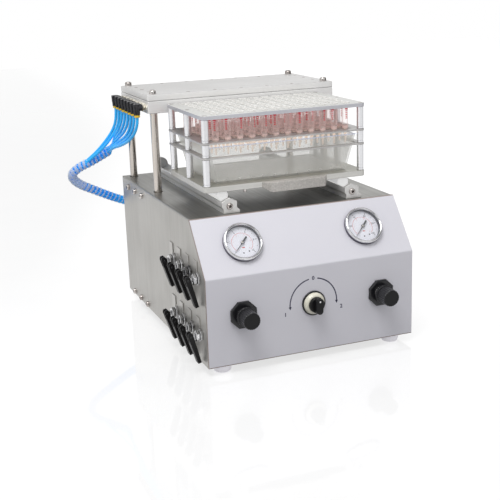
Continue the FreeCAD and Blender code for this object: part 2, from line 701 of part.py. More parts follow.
def make_rack():
    base = plate("RackBase", "rack_width", "rack_depth", "rack_base_thickness", "rack_corner")
    node(base, "rack_base_plate", "0", "rack_middle", "rack_base_bottom")
    handle = doc.addObject("Part::Wedge", "Handle")
    bind(handle, Xmin="-handle_front_width / 2", Xmax="handle_front_width / 2", X2min="-handle_width / 2",
         X2max="handle_width / 2", Ymin="-rack_front - handle_reach", Ymax="-rack_front",
         Zmin="rack_base_bottom - handle_front_drop", Zmax="rack_base_top",
         Z2min="rack_base_bottom", Z2max="rack_base_top")
    node(handle, "rack_handle", "handle_offset")
    bars = [cylinder(f"SlideBar{side}", "slide_bar_radius", "slide_bar_length", f"{side} * rail_x",
                     "slide_bar_front", "slide_bar_level", "Y") for side in (-1, 1)]
    node(group("SlideBars", bars), "slide_bars")
    node(group("LowerPosts", posts("LowerPost", "rack_base_top", "lower_shelf_level - rack_base_top")),
         "lower_posts")
    shelf = plate("LowerShelfPlate", "rack_width", "rack_depth", "shelf_thickness", "rack_corner")
    move(shelf, "0", "rack_middle", "lower_shelf_level")
    window = box("TrayWindow", "tray_width + 2 * tray_window_gap", "tray_depth + 2 * tray_window_gap",
                 "3 * shelf_thickness", "0", "rack_middle", "lower_shelf_level - shelf_thickness")
    node(cut("LowerShelf", shelf, [window]), "lower_shelf")
    outer = wedge_up("TrayOuter", ("tray_foot_width", "tray_foot_depth"), ("tray_width", "tray_depth"),
                     "rack_base_top", "rack_base_top + tray_height", "rack_middle")
    inner = wedge_up("TrayInner", ("tray_foot_width - 2 * tray_wall", "tray_foot_depth - 2 * tray_wall"),
                     ("tray_width - 2 * tray_wall", "tray_depth - 2 * tray_wall"),
                     "rack_base_top + tray_wall", "rack_base_top + tray_height + 0.01", "rack_middle")
    node(cut("Tray", outer, [inner]), "waste_tray")

    under = "lower_shelf_level + shelf_thickness"
    above = "upper_shelf_level + shelf_thickness"
    node(group("UpperPosts", posts("UpperPostLow", under, f"upper_shelf_level - ({under})")
               + posts("UpperPostHigh", above, f"top_plate_level - ({above})")), "upper_posts")
    shelf = plate("UpperShelfPlate", "rack_width", "rack_depth", "shelf_thickness", "rack_corner")
    move(shelf, "0", "rack_middle", "upper_shelf_level")
    slots = [box(f"TipSlot{i}", f"{GRID_COLUMNS} * column_grid_pitch",
                 "2 * (tip_radius + tip_slot_clearance)",
                 "3 * shelf_thickness", "0", f"rack_middle + {i - (GRID_ROWS - 1) / 2} * column_grid_pitch",
                 "upper_shelf_level - shelf_thickness") for i in range(GRID_ROWS)]
    node(cut("UpperShelf", shelf, slots), "upper_shelf")

    top = plate("TopPlate", "rack_width", "rack_depth", "top_plate_thickness", "rack_corner")
    hole = top.newObject("Sketcher::SketchObject", "ColumnHoleOutline")
    radius = size("barrel_radius") + size("barrel_clearance")
    hole.AttachmentSupport = [(part, "") for part in top.Origin.OriginFeatures if part.Role == "XY_Plane"]
    hole.MapMode = "FlatFace"
    turn = [Vector(math.cos(math.radians(60 * i)), math.sin(math.radians(60 * i))) for i in range(HEX)]
    for i in range(HEX):
        hole.addGeometry(Part.LineSegment(turn[i] * radius, turn[(i + 1) % HEX] * radius), False)
    for i in range(HEX):
        hole.addConstraint(Sketcher.Constraint("Coincident", i, 2, (i + 1) % HEX, 1))
        for kind, part in (("DistanceX", turn[i].x), ("DistanceY", turn[i].y)):
            count = GRID_COLUMNS if kind == "DistanceX" else GRID_ROWS
            offset = f"column_grid_pitch * {(count - 1) / 2}"
            number = hole.addConstraint(Sketcher.Constraint(kind, -1, 1, i, 1, part * radius))
            hole.renameConstraint(number, f"{kind[-1].lower()}{i}")
            hole.setExpression(f"Constraints.{kind[-1].lower()}{i}",
                               expand(f"{part:.9f} * (barrel_radius + barrel_clearance) - {offset}"))
    pocket = top.newObject("PartDesign::Pocket", "ColumnHole")
    pocket.Profile = hole
    pocket.Midplane = True
    bind(pocket, Length="4 * top_plate_thickness")
    doc.recompute()
    grid = top.newObject("PartDesign::MultiTransform", "ColumnHoles")
    grid.Originals = [pocket]
    top.Tip = grid
    steps = []
    for name, role, count in (("Across", "X_Axis", GRID_COLUMNS), ("Back", "Y_Axis", GRID_ROWS)):
        step = top.newObject("PartDesign::LinearPattern", "Holes" + name)
        step.Direction = ([part for part in top.Origin.OriginFeatures if part.Role == role][0], [""])
        step.Occurrences = count
        bind(step, Length=f"{count - 1} * column_grid_pitch")
        steps.append(step)
    grid.Transformations = steps
    top.Tip = grid
    node(top, "rack_top_plate", "0", "rack_middle", "top_plate_level")


def make_columns():
    level = size("rack_top")

    def prism_shape(radius, bottom, top):
        ring = [Vector(radius * math.cos(math.radians(60 * i)), radius * math.sin(math.radians(60 * i)),
                       bottom)
                for i in range(HEX + 1)]
        return Part.Face(Part.makePolygon(ring)).extrude(Vector(0, 0, top - bottom))

    barrel_end = level - size("barrel_length")
    one = prism_shape(size("flange_radius"), level, level + size("flange_thickness"))
    one = one.fuse(prism_shape(size("barrel_radius"), barrel_end, level))
    tip_end = barrel_end - size("tip_length")
    one = one.fuse(prism_shape(size("tip_radius"), tip_end, barrel_end))
    one = one.fuse(prism_shape(size("nozzle_radius"), tip_end - size("nozzle_length"), tip_end))
    pitch = size("column_grid_pitch")
    copies = []
    for row in range(GRID_ROWS):
        for column in range(GRID_COLUMNS):
            copy = one.copy()
            copy.translate(Vector((column - (GRID_COLUMNS - 1) / 2) * pitch,
                                  size("rack_middle") + (row - (GRID_ROWS - 1) / 2) * pitch, 0))
            copies.append(copy)
    node(shaped("ExtractionColumns", Part.makeCompound(copies)), "extraction_columns")


def make_gauges():
    cases, dials, windows = [], [], []
    for side, name in ((-1, "low"), (1, "high")):
        bezel = cylinder(f"Bezel{side}", "bezel_radius", "bezel_height")
        body = cylinder(f"GaugeBody{side}", "gauge_body_radius", "gauge_body_depth", z="-gauge_body_depth")
        inside = cylinder(f"GaugeInside{side}", "gauge_body_radius - gauge_wall", "gauge_body_depth",
                          z="dial_thickness - gauge_body_depth + gauge_wall")
        mouth = cylinder(f"BezelMouth{side}", "bezel_radius - bezel_lip", "bezel_height", z="dial_thickness")
        case = cut(f"GaugeCase{side}", fuse(f"GaugeSolid{side}", [bezel, body]), [inside, mouth])
        cases.append(on_slope(group(f"PlacedCase{side}", [case]), f"{side} * gauge_x"))
        disc = cylinder(f"DialDisc{side}", "dial_radius", "dial_thickness")
        hole = cylinder(f"DialHole{side}", "needle_shaft_radius + bush_clearance", "3 * dial_thickness",
                        z="-dial_thickness")
        dials.append(on_slope(group(f"PlacedDial{side}", [cut(f"Dial{side}", disc, [hole])]),
                              f"{side} * gauge_x"))
        glass = cylinder(f"Glass{side}", "bezel_radius - bezel_lip", "window_thickness",
                         z="bezel_height - 2 * window_thickness")
        windows.append(on_slope(group(f"PlacedGlass{side}", [glass]), f"{side} * gauge_x"))

        pointer = doc.addObject("Part::Wedge", f"Pointer{side}")
        bind(pointer, Xmin="-needle_width / 2", Xmax="needle_width / 2", X2min="-needle_width / 6",
             X2max="needle_width / 6", Ymin="-needle_tail", Ymax="needle_length", Zmin="0",
             Zmax="needle_thickness", Z2min="0", Z2max="needle_thickness")
        pointer.Placement = Placement(Vector(), Rotation(Vector(0, 0, 1), 135))
        move(pointer, z="needle_level")
        hub = cylinder(f"NeedleHub{side}", "needle_hub_radius", "2 * needle_thickness", z="needle_level")
        shaft = cylinder(f"NeedleShaft{side}", "needle_shaft_radius", "needle_level + 3 * dial_thickness",
                         z="-3 * dial_thickness")
        needle = fuse(f"Needle{side}", [pointer, hub, shaft])
        node(group(f"{name}Needle", [on_slope(group(f"PlacedNeedle{side}", [needle]), f"{side} * gauge_x")]),
             f"{name}_gauge_needle")
    node(group("GaugeCases", cases), "gauge_cases")
    node(group("GaugeDials", dials), "gauge_dials")
    node(group("GaugeWindows", windows), "gauge_windows")


def make_regulators():
    bodies, nuts = [], []
    for side, name in ((-1, "low"), (1, "high")):
        x = f"{side} * regulator_x"
        body = cylinder(f"RegulatorBody{side}", "regulator_body_radius", "regulator_body_length", x,
                        "case_front + sheet", "control_level", "Y")
        neck = cylinder(f"RegulatorNeck{side}", "regulator_neck_radius", "regulator_neck_reach + 2 * sheet",
                        x,
                        "case_front - regulator_neck_reach", "control_level", "Y")
        bore = cylinder(f"RegulatorBore{side}", "spindle_radius + spindle_clearance",
                        "regulator_neck_reach + regulator_body_length / 2", x,
                        "case_front - regulator_neck_reach - 0.01", "control_level", "Y")
        bodies.append(cut(f"Regulator{side}", fuse(f"RegulatorSolid{side}", [body, neck]), [bore]))
        nut = prism(f"RegulatorNut{side}", NUT_SIDES, "regulator_nut_radius", "regulator_nut_thickness", x,
                    "case_front", "control_level", "-Y")
        thread = cylinder(f"NutThread{side}", "regulator_neck_radius", "3 * regulator_nut_thickness", x,
                          "case_front + regulator_nut_thickness", "control_level", "-Y")
        nuts.append(cut(f"PanelNut{side}", nut, [thread]))
        spindle = cylinder(f"Spindle{side}", "spindle_radius", "regulator_body_length / 3 + knob_length", x,
                           "knob_front + knob_length / 2", "control_level", "Y")
        node(group(f"{name}Spindle", [spindle]), f"{name}_regulator_spindle")
        grip = prism(f"Knob{side}", 10, "knob_radius", "knob_length", x, "knob_back", "control_level", "-Y")
        skirt = cylinder(f"KnobSkirt{side}", "knob_skirt_radius", "knob_skirt_height", x, "knob_back",
                         "control_level", "-Y")
        socket = cylinder(f"KnobSocket{side}", "spindle_radius + spindle_clearance", "knob_length", x,
                          "knob_back + knob_length / 2 - 0.2", "control_level", "-Y")
        node(cut(f"{name}Knob", fuse(f"KnobSolid{side}", [grip, skirt]), [socket]), f"{name}_regulator_knob")
    node(group("RegulatorBodies", bodies), "regulator_bodies")
    node(group("RegulatorNuts", nuts), "regulator_nuts")


def make_selector():
    level = "control_level"
    collar = cylinder("Collar", "selector_collar_radius", "selector_collar_height", "0", "case_front", level,
                      "-Y")
    bore = cylinder("CollarBore", "selector_shaft_radius + spindle_clearance", "3 * selector_collar_height",
                    "0",
                    "case_front + selector_collar_height", level, "-Y")
    node(cut("SelectorCollar", collar, [bore]), "selector_collar")
    ring = cone("Ring", "selector_ring_radius", "selector_ring_top", "selector_ring_height", "0",
                "case_front - selector_collar_height", level, "-Y")
    bore = cylinder("RingBore", "selector_shaft_radius + spindle_clearance", "3 * selector_ring_height", "0",
                    "case_front + selector_collar_height", level, "-Y")
    node(cut("SelectorRing", ring, [bore]), "selector_ring")
    face = "case_front - selector_collar_height - selector_ring_height - knob_gap"
    base = cylinder("SelectorDisc", "selector_knob_radius", "selector_knob_base", "0", face, level, "-Y")
    blank = cylinder("SelectorBlank", "selector_knob_radius", "selector_knob_base + selector_grip_height",
                     "0",
                     face, level, "-Y")
    bar = box("SelectorBar", "selector_grip_width", "2 * (selector_knob_base + selector_grip_height)",
              "2 * selector_knob_radius", "0", face, "control_level - selector_knob_radius")
    grip = doc.addObject("Part::MultiCommon", "SelectorGrip")
    grip.Shapes = [blank, bar]
    shaft = cylinder("SelectorShaft", "selector_shaft_radius",
                     "selector_collar_height + selector_ring_height + knob_gap + 4 * sheet", "0", face, level,
                     "Y")
    node(fuse("SelectorKnob", [base, grip, shaft]), "selector_knob")
    block = box("Switch", "switch_block_size", "switch_block_depth", "switch_block_size", "0",
                "case_front + sheet + switch_block_depth / 2", "control_level - switch_block_size / 2")
    neck = cylinder("SwitchNeck", "selector_hole_radius", "2 * sheet", "0", "case_front", level, "Y")
    bore = cylinder("SwitchBore", "selector_shaft_radius + spindle_clearance", "switch_block_depth / 2", "0",
                    "case_front - sheet", level, "Y")
    node(cut("SwitchBlock", fuse("SwitchSolid", [block, neck]), [bore]), "switch_block")


def make_lever(number, y, level):
    """A forked lever that hangs from the pin of its valve and leans towards the case."""
    half = "lever_thickness / 2"
    blade = padded(f"Blade{number}", "XZ_Plane", [
        ("-lever_top_width / 2", "lever_top - lever_top_chamfer"),
        ("-lever_top_width / 2 + lever_top_chamfer / 2", "lever_top"),
        ("lever_top_width / 2 - lever_top_chamfer / 2", "lever_top"),
        ("lever_top_width / 2", "lever_top - lever_top_chamfer"),
        ("lever_end_width / 2", "-lever_length"), ("-lever_end_width / 2", "-lever_length")],
                   "lever_thickness")
    tools = [box(f"Fork{number}", "2 * lever_top_width", "valve_tang_width + 2 * lever_fork_gap",
                 "lever_fork_depth + 2 * lever_top", z="-lever_fork_depth"),
             cylinder(f"LeverBore{number}", "valve_pin_radius + lever_bore_clearance", "2 * lever_thickness",
                      y="-lever_thickness", along="Y")]
    for side in (-1, 1):
        tools.append(box(f"Groove{number}{side}", "lever_groove_width", "2 * lever_groove_depth",
                         "lever_length - lever_fork_depth - 2", y=f"{side} * {half}", z="-lever_length + 2"))
    lever = cut(f"LeverShape{number}", blade, tools)
    lever.Placement = Placement(Vector(), Rotation(Vector(0, -1, 0), 1))
    lever.setExpression("Placement.Rotation.Angle", expand("lever_lean * 1 deg"))
    move(lever, "valve_pin_x", y, level)
    node(group(f"Lever{number}", [lever]), f"valve_lever_{number}")


def make_valves():
    bodies, labels = [], []
    number = 0
    for level in ("valve_upper_level", "valve_lower_level"):
        for i in range(4):
            number += 1
            y = f"-valve_front + {i} * valve_pitch"
            side = "-case_side"
            inner = cylinder(f"ValveThread{number}", "valve_thread_radius", "valve_inner_length + sheet",
                             side, y,
                             level, "X")
            nut = prism(f"ValveNut{number}", HEX, "valve_nut_radius", "valve_nut_thickness", side, y, level,
                        "-X")
            neck = cylinder(f"ValveNeck{number}", "valve_stem_radius", "valve_pin_reach", side, y, level,
                            "-X")
            bonnet = prism(f"ValveBonnet{number}", HEX, "valve_bonnet_radius", "valve_bonnet_length",
                           "-case_side - valve_nut_thickness - valve_bonnet_gap", y, level, "-X")
            waist = cylinder(f"ValveWaist{number}", "valve_thread_radius", "2 * valve_bonnet_gap",
                             "-case_side - valve_nut_thickness + valve_bonnet_gap / 2", y, level, "-X")
            stem_end = "valve_nut_thickness + valve_bonnet_gap + valve_bonnet_length"
            trim = [box(f"StemTrim{number}{hand}", "valve_pin_reach", "valve_stem_radius",
                        "valve_stem_radius * 2",
                        f"-case_side - ({stem_end}) - valve_pin_reach / 2",
                        f"{y} + {hand} * (valve_tang_width + valve_stem_radius) / 2",
                        f"{level} - valve_stem_radius") for hand in (-1, 1)]
            stem = cut(f"ValveStem{number}", neck, trim)
            eye = cylinder(f"ValveEye{number}", "valve_tang_height / 2", "valve_tang_width", "valve_pin_x",
                           f"{y} - valve_tang_width / 2", level, "Y")
            pin = cylinder(f"ValvePin{number}", "valve_pin_radius", "lever_thickness + 1", "valve_pin_x",
                           f"{y} - lever_thickness / 2 - 0.5", level, "Y")
            bodies.append(fuse(f"Valve{number}", [inner, nut, waist, bonnet, stem, eye, pin]))
            labels.append(box(f"Label{number}", "valve_label_thickness", "valve_label_width",
                              "valve_label_height", "-case_side - valve_label_thickness / 2",
                              f"{y} + valve_label_offset + valve_label_width / 2",
                              f"{level} + valve_label_rise - valve_label_height"))
            make_lever(number, y, level)
    label_set = group("LabelPlates", labels)
    clear = [cylinder(f"LabelClear{i}{level}", "valve_nut_radius + 0.3", "3 * valve_label_thickness",
                      "-case_side - 2 * valve_label_thickness", f"-valve_front + {i} * valve_pitch", level,
                      "X")
             for i in range(4) for level in ("valve_upper_level", "valve_lower_level")]
    node(cut("ValveLabels", label_set, clear), "valve_label_plates")
    node(group("ValveBodies", bodies), "valve_bodies")


def make_rear_fittings():
    nut = prism("InletNut", HEX, "inlet_nut_radius", "inlet_nut_thickness", "inlet_x", "case_back",
                "inlet_level", "Y")
    barrel = cylinder("InletBarrel", "inlet_barrel_radius", "inlet_reach + 4 * sheet", "inlet_x",
                      "case_back - 4 * sheet", "inlet_level", "Y")
    bore = cylinder("InletBore", "inlet_bore_radius", "inlet_bore_length", "inlet_x",
                    "case_back + inlet_reach - inlet_bore_length", "inlet_level", "Y")
    node(cut("GasInlet", fuse("InletSolid", [nut, barrel]), [bore]), "gas_inlet")
    ring = cylinder("GrommetRing", "grommet_radius", "grommet_height", "-grommet_x", "case_back",
                    "grommet_level", "Y")
    sleeve = cylinder("GrommetSleeve", "grommet_hole_radius", "grommet_height + 2 * sheet", "-grommet_x",
                      "case_back - 2 * sheet", "grommet_level", "Y")
    bore = cylinder("GrommetBore", "bundle_radius", "4 * grommet_height", "-grommet_x",
                    "case_back - grommet_height - sheet", "grommet_level", "Y")
    node(cut("Grommet", fuse("GrommetSolid", [ring, sleeve]), [bore]), "tube_grommet")


def cord_tube(points, radius, name):
    """A round tube on straight runs joined by tangent arcs, each as large as its runs allow."""
    share = 0.45
    legs = [points[i + 1] - points[i] for i in range(len(points) - 1)]
    edges, last, tightest = [], points[0], LONG
    for i in range(1, len(points) - 1):
        before, after = legs[i - 1], legs[i]
        turn = before.getAngle(after)
        reach = share * min(before.Length, after.Length)
        bend = reach / math.tan(turn / 2)
        tightest = min(tightest, bend)
        start = points[i] - Vector(before).normalize() * reach
        end = points[i] + Vector(after).normalize() * reach
        inward = (Vector(after).normalize() - Vector(before).normalize()).normalize()
        middle = points[i] + inward * (bend / math.cos(turn / 2) - bend)
        edges += [Part.LineSegment(last, start).toShape(), Part.Arc(start, middle, end).toShape()]
        last = end
    edges.append(Part.LineSegment(last, points[-1]).toShape())
    path = Part.Wire(edges)
    section = Part.Wire(Part.Circle(points[0], legs[0], radius).toShape())
    solid = path.makePipeShell([section], True, False)
    ratio = solid.Volume / (math.pi * radius ** 2 * path.Length)
    print(f"{name}: length {path.Length:.1f} mm, tightest bend {tightest:.1f} mm, volume ratio {ratio:.4f}")
    return solid


# Cord points are (out from the case's left side, behind its back, level).
# The bundle leaves the grommet in the rear panel, loops out to the left and rises to where the tubes spread
BUNDLE_ROUTE = [(44.5, 3, 118), (42.5, 26, 120), (24.5, 41, 125), (-8.5, 35, 139),
                (-37.5, 30, 154), (-59.5, 26, 166), (-68.5, 20, 179), (-58.5, 14, 190),
                (-39.5, 8, 198), (-17.5, 2, 211)]
# Each tube first drops straight out of its collar, then takes these points. The first six run on to the
# start of the bundle, and the last two join it further down, at the last of their points
TUBE_DROP = 11.0
BUNDLED = 6
TUBE_MIDDLES = [
    [(-12.5, -110, 243), (-17.5, -70, 229), (-17.5, -30, 221)],
    [(-11.5, -94, 243), (-15.5, -60, 230), (-15.5, -26, 222)],
    [(-10.5, -81, 244), (-13.5, -50, 232), (-13.5, -22, 223)],
    [(-10.5, -67, 246), (-12.5, -42, 235), (-13.5, -18, 225)],
    [(-10.5, -54, 247), (-12.5, -36, 237), (-13.5, -16, 226)],
    [(-10.5, -41, 248), (-12.5, -28, 238), (-12.5, -13, 227)],
    [(-9.5, -28, 247), (-18.5, -18, 230), (-29.5, -8, 215), (-42.5, 1, 203), (-51.5, 10, 193)],
    [(-10.5, -14, 245), (-20.5, -6, 228), (-33.5, 1, 212), (-47.5, 8, 199), (-57.5, 15, 189)],
]


def cord_points(route):
    return [Vector(x - size("case_side"), y + size("case_back"), z) for x, y, z in route]


def make_tubes():
    route = cord_points(BUNDLE_ROUTE)
    radius = size("bundle_radius")
    bundle = cord_tube(route, radius, "tube_wrap")
    along = (route[-1] - route[-2]).normalize()
    across = along.cross(Vector(0, 0, 1)).normalize()
    upward = across.cross(along)
    step = size("tube_radius") + 0.05
    ring = step / math.sin(math.pi / (FITTINGS - 1))
    tubes = []
    for i, middles in enumerate(TUBE_MIDDLES):
        y = size("head_middle") + (i - (FITTINGS - 1) / 2) * size("column_grid_pitch")
        angle = 2 * math.pi * i / (FITTINGS - 1)
        start = Vector(size("fitting_x"), y, size("collar_bottom"))
        points = [start, start - Vector(0, 0, TUBE_DROP)] + cord_points(middles)
        if i < BUNDLED:
            points.append(route[-1] + across * ring * math.cos(angle) + upward * ring * math.sin(angle))
        tubes.append(cord_tube(points, size("tube_radius"), f"air tube {i + 1}"))
    node(shaped("AirTubes", Part.makeCompound(tubes)), "air_tubes", cord=True)
    node(shaped("TubeWrap", bundle), "tube_wrap", cord=True)


def settle_origin():
    """Put the origin under the middle of everything but the cords."""
    whole = FreeCAD.BoundBox()
    for thing in nodes:
        if thing not in cords:
            whole.add(thing.Shape.optimalBoundingBox(False, False))
    for alias, middle in (("origin_x", (whole.XMin + whole.XMax) / 2), ("origin_y",
                                                                        (whole.YMin + whole.YMax) / 2)):
        places.set(places.getCellFromAlias(alias), str(round(-middle, 4)))
    doc.recompute()


def check_all():
    failed = [thing.Name for thing in doc.Objects if {"Invalid", "Error"} & set(thing.State)]
    if failed:
        raise RuntimeError("failed objects: " + ", ".join(failed))
    for thing in nodes:
        if thing.Shape.isNull() or not thing.Shape.isValid() or not thing.Shape.Solids:
            raise RuntimeError("bad shape: " + thing.Label)


def write_parts():
    os.makedirs("parts", exist_ok=True)
    for thing in nodes:
        thing.Shape.exportStep(os.path.join("parts", thing.Label + ".step"))
    print(len(nodes), "nodes,", sum(len(thing.Shape.Solids) for thing in nodes), "solids")


fill_sheets()
make_case()
make_rails()
make_lift()
make_head()
make_fittings()
make_rack()
make_columns()
make_gauges()
make_regulators()
make_selector()
make_valves()
make_rear_fittings()
make_tubes()
doc.recompute()
check_all()
settle_origin()
check_all()
write_parts()
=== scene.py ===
import math
import random
import bmesh
import bpy
from mathutils import Matrix, Vector


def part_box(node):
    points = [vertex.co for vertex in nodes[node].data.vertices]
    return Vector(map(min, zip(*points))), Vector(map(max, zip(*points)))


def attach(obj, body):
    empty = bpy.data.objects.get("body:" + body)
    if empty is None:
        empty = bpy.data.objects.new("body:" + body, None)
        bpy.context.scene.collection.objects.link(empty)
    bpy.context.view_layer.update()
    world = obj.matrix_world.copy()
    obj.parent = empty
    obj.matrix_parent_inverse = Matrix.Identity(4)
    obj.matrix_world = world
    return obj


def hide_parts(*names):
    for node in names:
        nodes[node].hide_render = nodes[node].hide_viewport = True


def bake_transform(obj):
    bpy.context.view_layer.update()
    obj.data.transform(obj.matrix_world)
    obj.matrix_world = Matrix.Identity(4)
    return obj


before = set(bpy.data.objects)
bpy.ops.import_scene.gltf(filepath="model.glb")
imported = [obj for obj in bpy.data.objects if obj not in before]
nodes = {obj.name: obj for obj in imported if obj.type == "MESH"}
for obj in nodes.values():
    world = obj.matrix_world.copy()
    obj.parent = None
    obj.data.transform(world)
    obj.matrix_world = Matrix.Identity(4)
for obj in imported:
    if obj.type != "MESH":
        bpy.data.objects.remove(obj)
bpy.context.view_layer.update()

# Lengths below are millimetres from the middle of the case, Z up from the bench
millimetre = 0.001
floorLow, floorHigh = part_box("floor_pan")
caseMiddle = Vector(((floorLow[0] + floorHigh[0]) / 2, (floorLow[1] + floorHigh[1]) / 2, 0))
up = Vector((0, 0, 1))


def at(x, y, z):
    return caseMiddle + Vector((x, y, z)) * millimetre


cameraView = {"azimuth": -21.34, "elevation": 15.70, "roll": -1.9, "distance": 1315.2, "lens": 72.17,
              "target": (-11.0, 0.0, 92.9)}


def makeCamera(view):
    azimuth, elevation, roll = (math.radians(view[k]) for k in ("azimuth", "elevation", "roll"))
    towards = Vector((math.sin(azimuth) * math.cos(elevation), -math.cos(azimuth) * math.cos(elevation),
                      math.sin(elevation)))
    side = (-towards).cross(up).normalized()
    top = side.cross(-towards)
    across = side * math.cos(roll) + top * math.sin(roll)
    upward = top * math.cos(roll) - side * math.sin(roll)
    camera = bpy.data.objects.new("photoCamera", bpy.data.cameras.new("photoCamera"))
    camera.data.lens = view["lens"]
    camera.data.sensor_width = 36
    place = Matrix((across, upward, towards)).transposed().to_4x4()
    place.translation = at(*view["target"]) + towards * view["distance"] * millimetre
    camera.matrix_world = place
    bpy.context.scene.collection.objects.link(camera)
    bpy.context.scene.camera = camera


makeCamera(cameraView)
print("camera placed")


# Shader effects that several finishes share
def tone(red, green, blue):  # 0 to 255 as seen on screen
    parts = [part / 255 for part in (red, green, blue)]
    return tuple(part / 12.92 if part < 0.04045 else ((part + 0.055) / 1.055) ** 2.4 for part in parts) + (1,)


def addNode(tree, kind, values=None, **settings):
    node = tree.nodes.new(kind)
    for name, value in settings.items():
        setattr(node, name, value)
    for name, value in (values or {}).items():
        node.inputs[name].default_value = value
    return node


def joinMath(tree, operation, first, second, **settings):
    node = addNode(tree, "ShaderNodeMath", operation=operation, **settings)
    tree.links.new(first, node.inputs[0])
    tree.links.new(second, node.inputs[1])
    return node.outputs[0]


def makeGrain(name, stretched):
    tree = bpy.data.node_groups.new(name, "ShaderNodeTree")
    for label, kind, value in (("Stretch", "NodeSocketVector", (1, 1, 1)), ("Light", "NodeSocketColor", (1, 1, 1, 1)),
                               ("Dark", "NodeSocketColor", (0.5, 0.5, 0.5, 1)), ("Smooth", "NodeSocketFloat", 0.3),
                               ("Rough", "NodeSocketFloat", 0.5)):
        tree.interface.new_socket(name=label, in_out="INPUT", socket_type=kind).default_value = value
    for label, kind in (("Color", "NodeSocketColor"), ("Roughness", "NodeSocketFloat"), ("Height", "NodeSocketFloat")):
        tree.interface.new_socket(name=label, in_out="OUTPUT", socket_type=kind)
    inward, outward = tree.nodes.new("NodeGroupInput"), tree.nodes.new("NodeGroupOutput")
    link = tree.links.new
    place = addNode(tree, "ShaderNodeTexCoord")
    scaled = addNode(tree, "ShaderNodeVectorMath", operation="MULTIPLY")
    fine = addNode(tree, "ShaderNodeTexNoise", {"Scale": 1.0, "Detail": 5.0 if stretched else 3.0, "Roughness": 0.65})
    cloud = addNode(tree, "ShaderNodeTexNoise", {"Scale": 14.0, "Detail": 3.0})
    shade = addNode(tree, "ShaderNodeMath", {1: 0.55 if stretched else 0.45}, operation="MULTIPLY")
    drift = addNode(tree, "ShaderNodeMath", {1: 0.45 if stretched else 0.55}, operation="MULTIPLY")
    blend = addNode(tree, "ShaderNodeMix", data_type="RGBA")
    spread = addNode(tree, "ShaderNodeMapRange", {"From Min": 0.3, "From Max": 0.7})
    steep = addNode(tree, "ShaderNodeMapRange", {"From Min": 0.32, "From Max": 0.68})
    link(place.outputs["Object"], scaled.inputs[0])
    link(inward.outputs["Stretch"], scaled.inputs[1])
    link(scaled.outputs[0], fine.inputs["Vector"])
    link(place.outputs["Object"], cloud.inputs["Vector"])
    link(fine.outputs[0], shade.inputs[0])
    link(cloud.outputs[0], drift.inputs[0])
    both = joinMath(tree, "ADD", shade.outputs[0], drift.outputs[0], use_clamp=True)
    link(both, spread.inputs["Value"])
    link(inward.outputs["Smooth"], spread.inputs["To Min"])
    link(inward.outputs["Rough"], spread.inputs["To Max"])
    link(both, steep.inputs["Value"])
    link(steep.outputs[0], blend.inputs[0])
    link(inward.outputs["Light"], blend.inputs[6])
    link(inward.outputs["Dark"], blend.inputs[7])
    link(blend.outputs[2], outward.inputs["Color"])
    link(spread.outputs[0], outward.inputs["Roughness"])
    link(fine.outputs[0], outward.inputs["Height"])
    return tree


brushed = makeGrain("brushedGrain", True)
mottled = makeGrain("mottledGrain", False)
lengthways = (500, 6, 500)
crossways = (6, 500, 500)
upright = (500, 500, 6)
grainy = (900, 900, 900)
speckled = (420, 420, 420)
glintPatches = (330, 330, 330)


def mix(light, dark, rough, bump, grain=mottled, stretch=grainy, deep=0.0001, glass=None, paintedGlow=0.0, **own):
    material = bpy.data.materials.new("finish")
    material.use_nodes = True
    tree = material.node_tree
    shader = tree.nodes["Principled BSDF"]
    effect = addNode(tree, "ShaderNodeGroup", node_tree=grain)
    for label, value in zip(("Stretch", "Light", "Dark", "Smooth", "Rough"),
                            (stretch, tone(*light), tone(*dark), *rough)):
        effect.inputs[label].default_value = value
    relief = addNode(tree, "ShaderNodeBump", {"Strength": bump, "Distance": deep})
    tree.links.new(effect.outputs["Color"], shader.inputs["Base Color"])
    tree.links.new(effect.outputs["Roughness"], shader.inputs["Roughness"])
    tree.links.new(effect.outputs["Height"], relief.inputs["Height"])
    tree.links.new(relief.outputs[0], shader.inputs["Normal"])
    for label, value in own.items():
        shader.inputs[label.replace("_", " ")].default_value = value
    if paintedGlow:  # painted light: the surface colour also glows, lifting parts that sit in shade, such as clear plastic that light would pass through
        tree.links.new(effect.outputs["Color"], shader.inputs["Emission Color"])
        shader.inputs["Emission Strength"].default_value = paintedGlow
    if glass:  # see-through in the middle, thicker towards the outline
        facing = addNode(tree, "ShaderNodeLayerWeight", {"Blend": glass[2]})
        solid = addNode(tree, "ShaderNodeMapRange", {"To Min": glass[0], "To Max": glass[1]})
        tree.links.new(facing.outputs["Facing"], solid.inputs["Value"])
        tree.links.new(solid.outputs[0], shader.inputs["Alpha"])
    return material


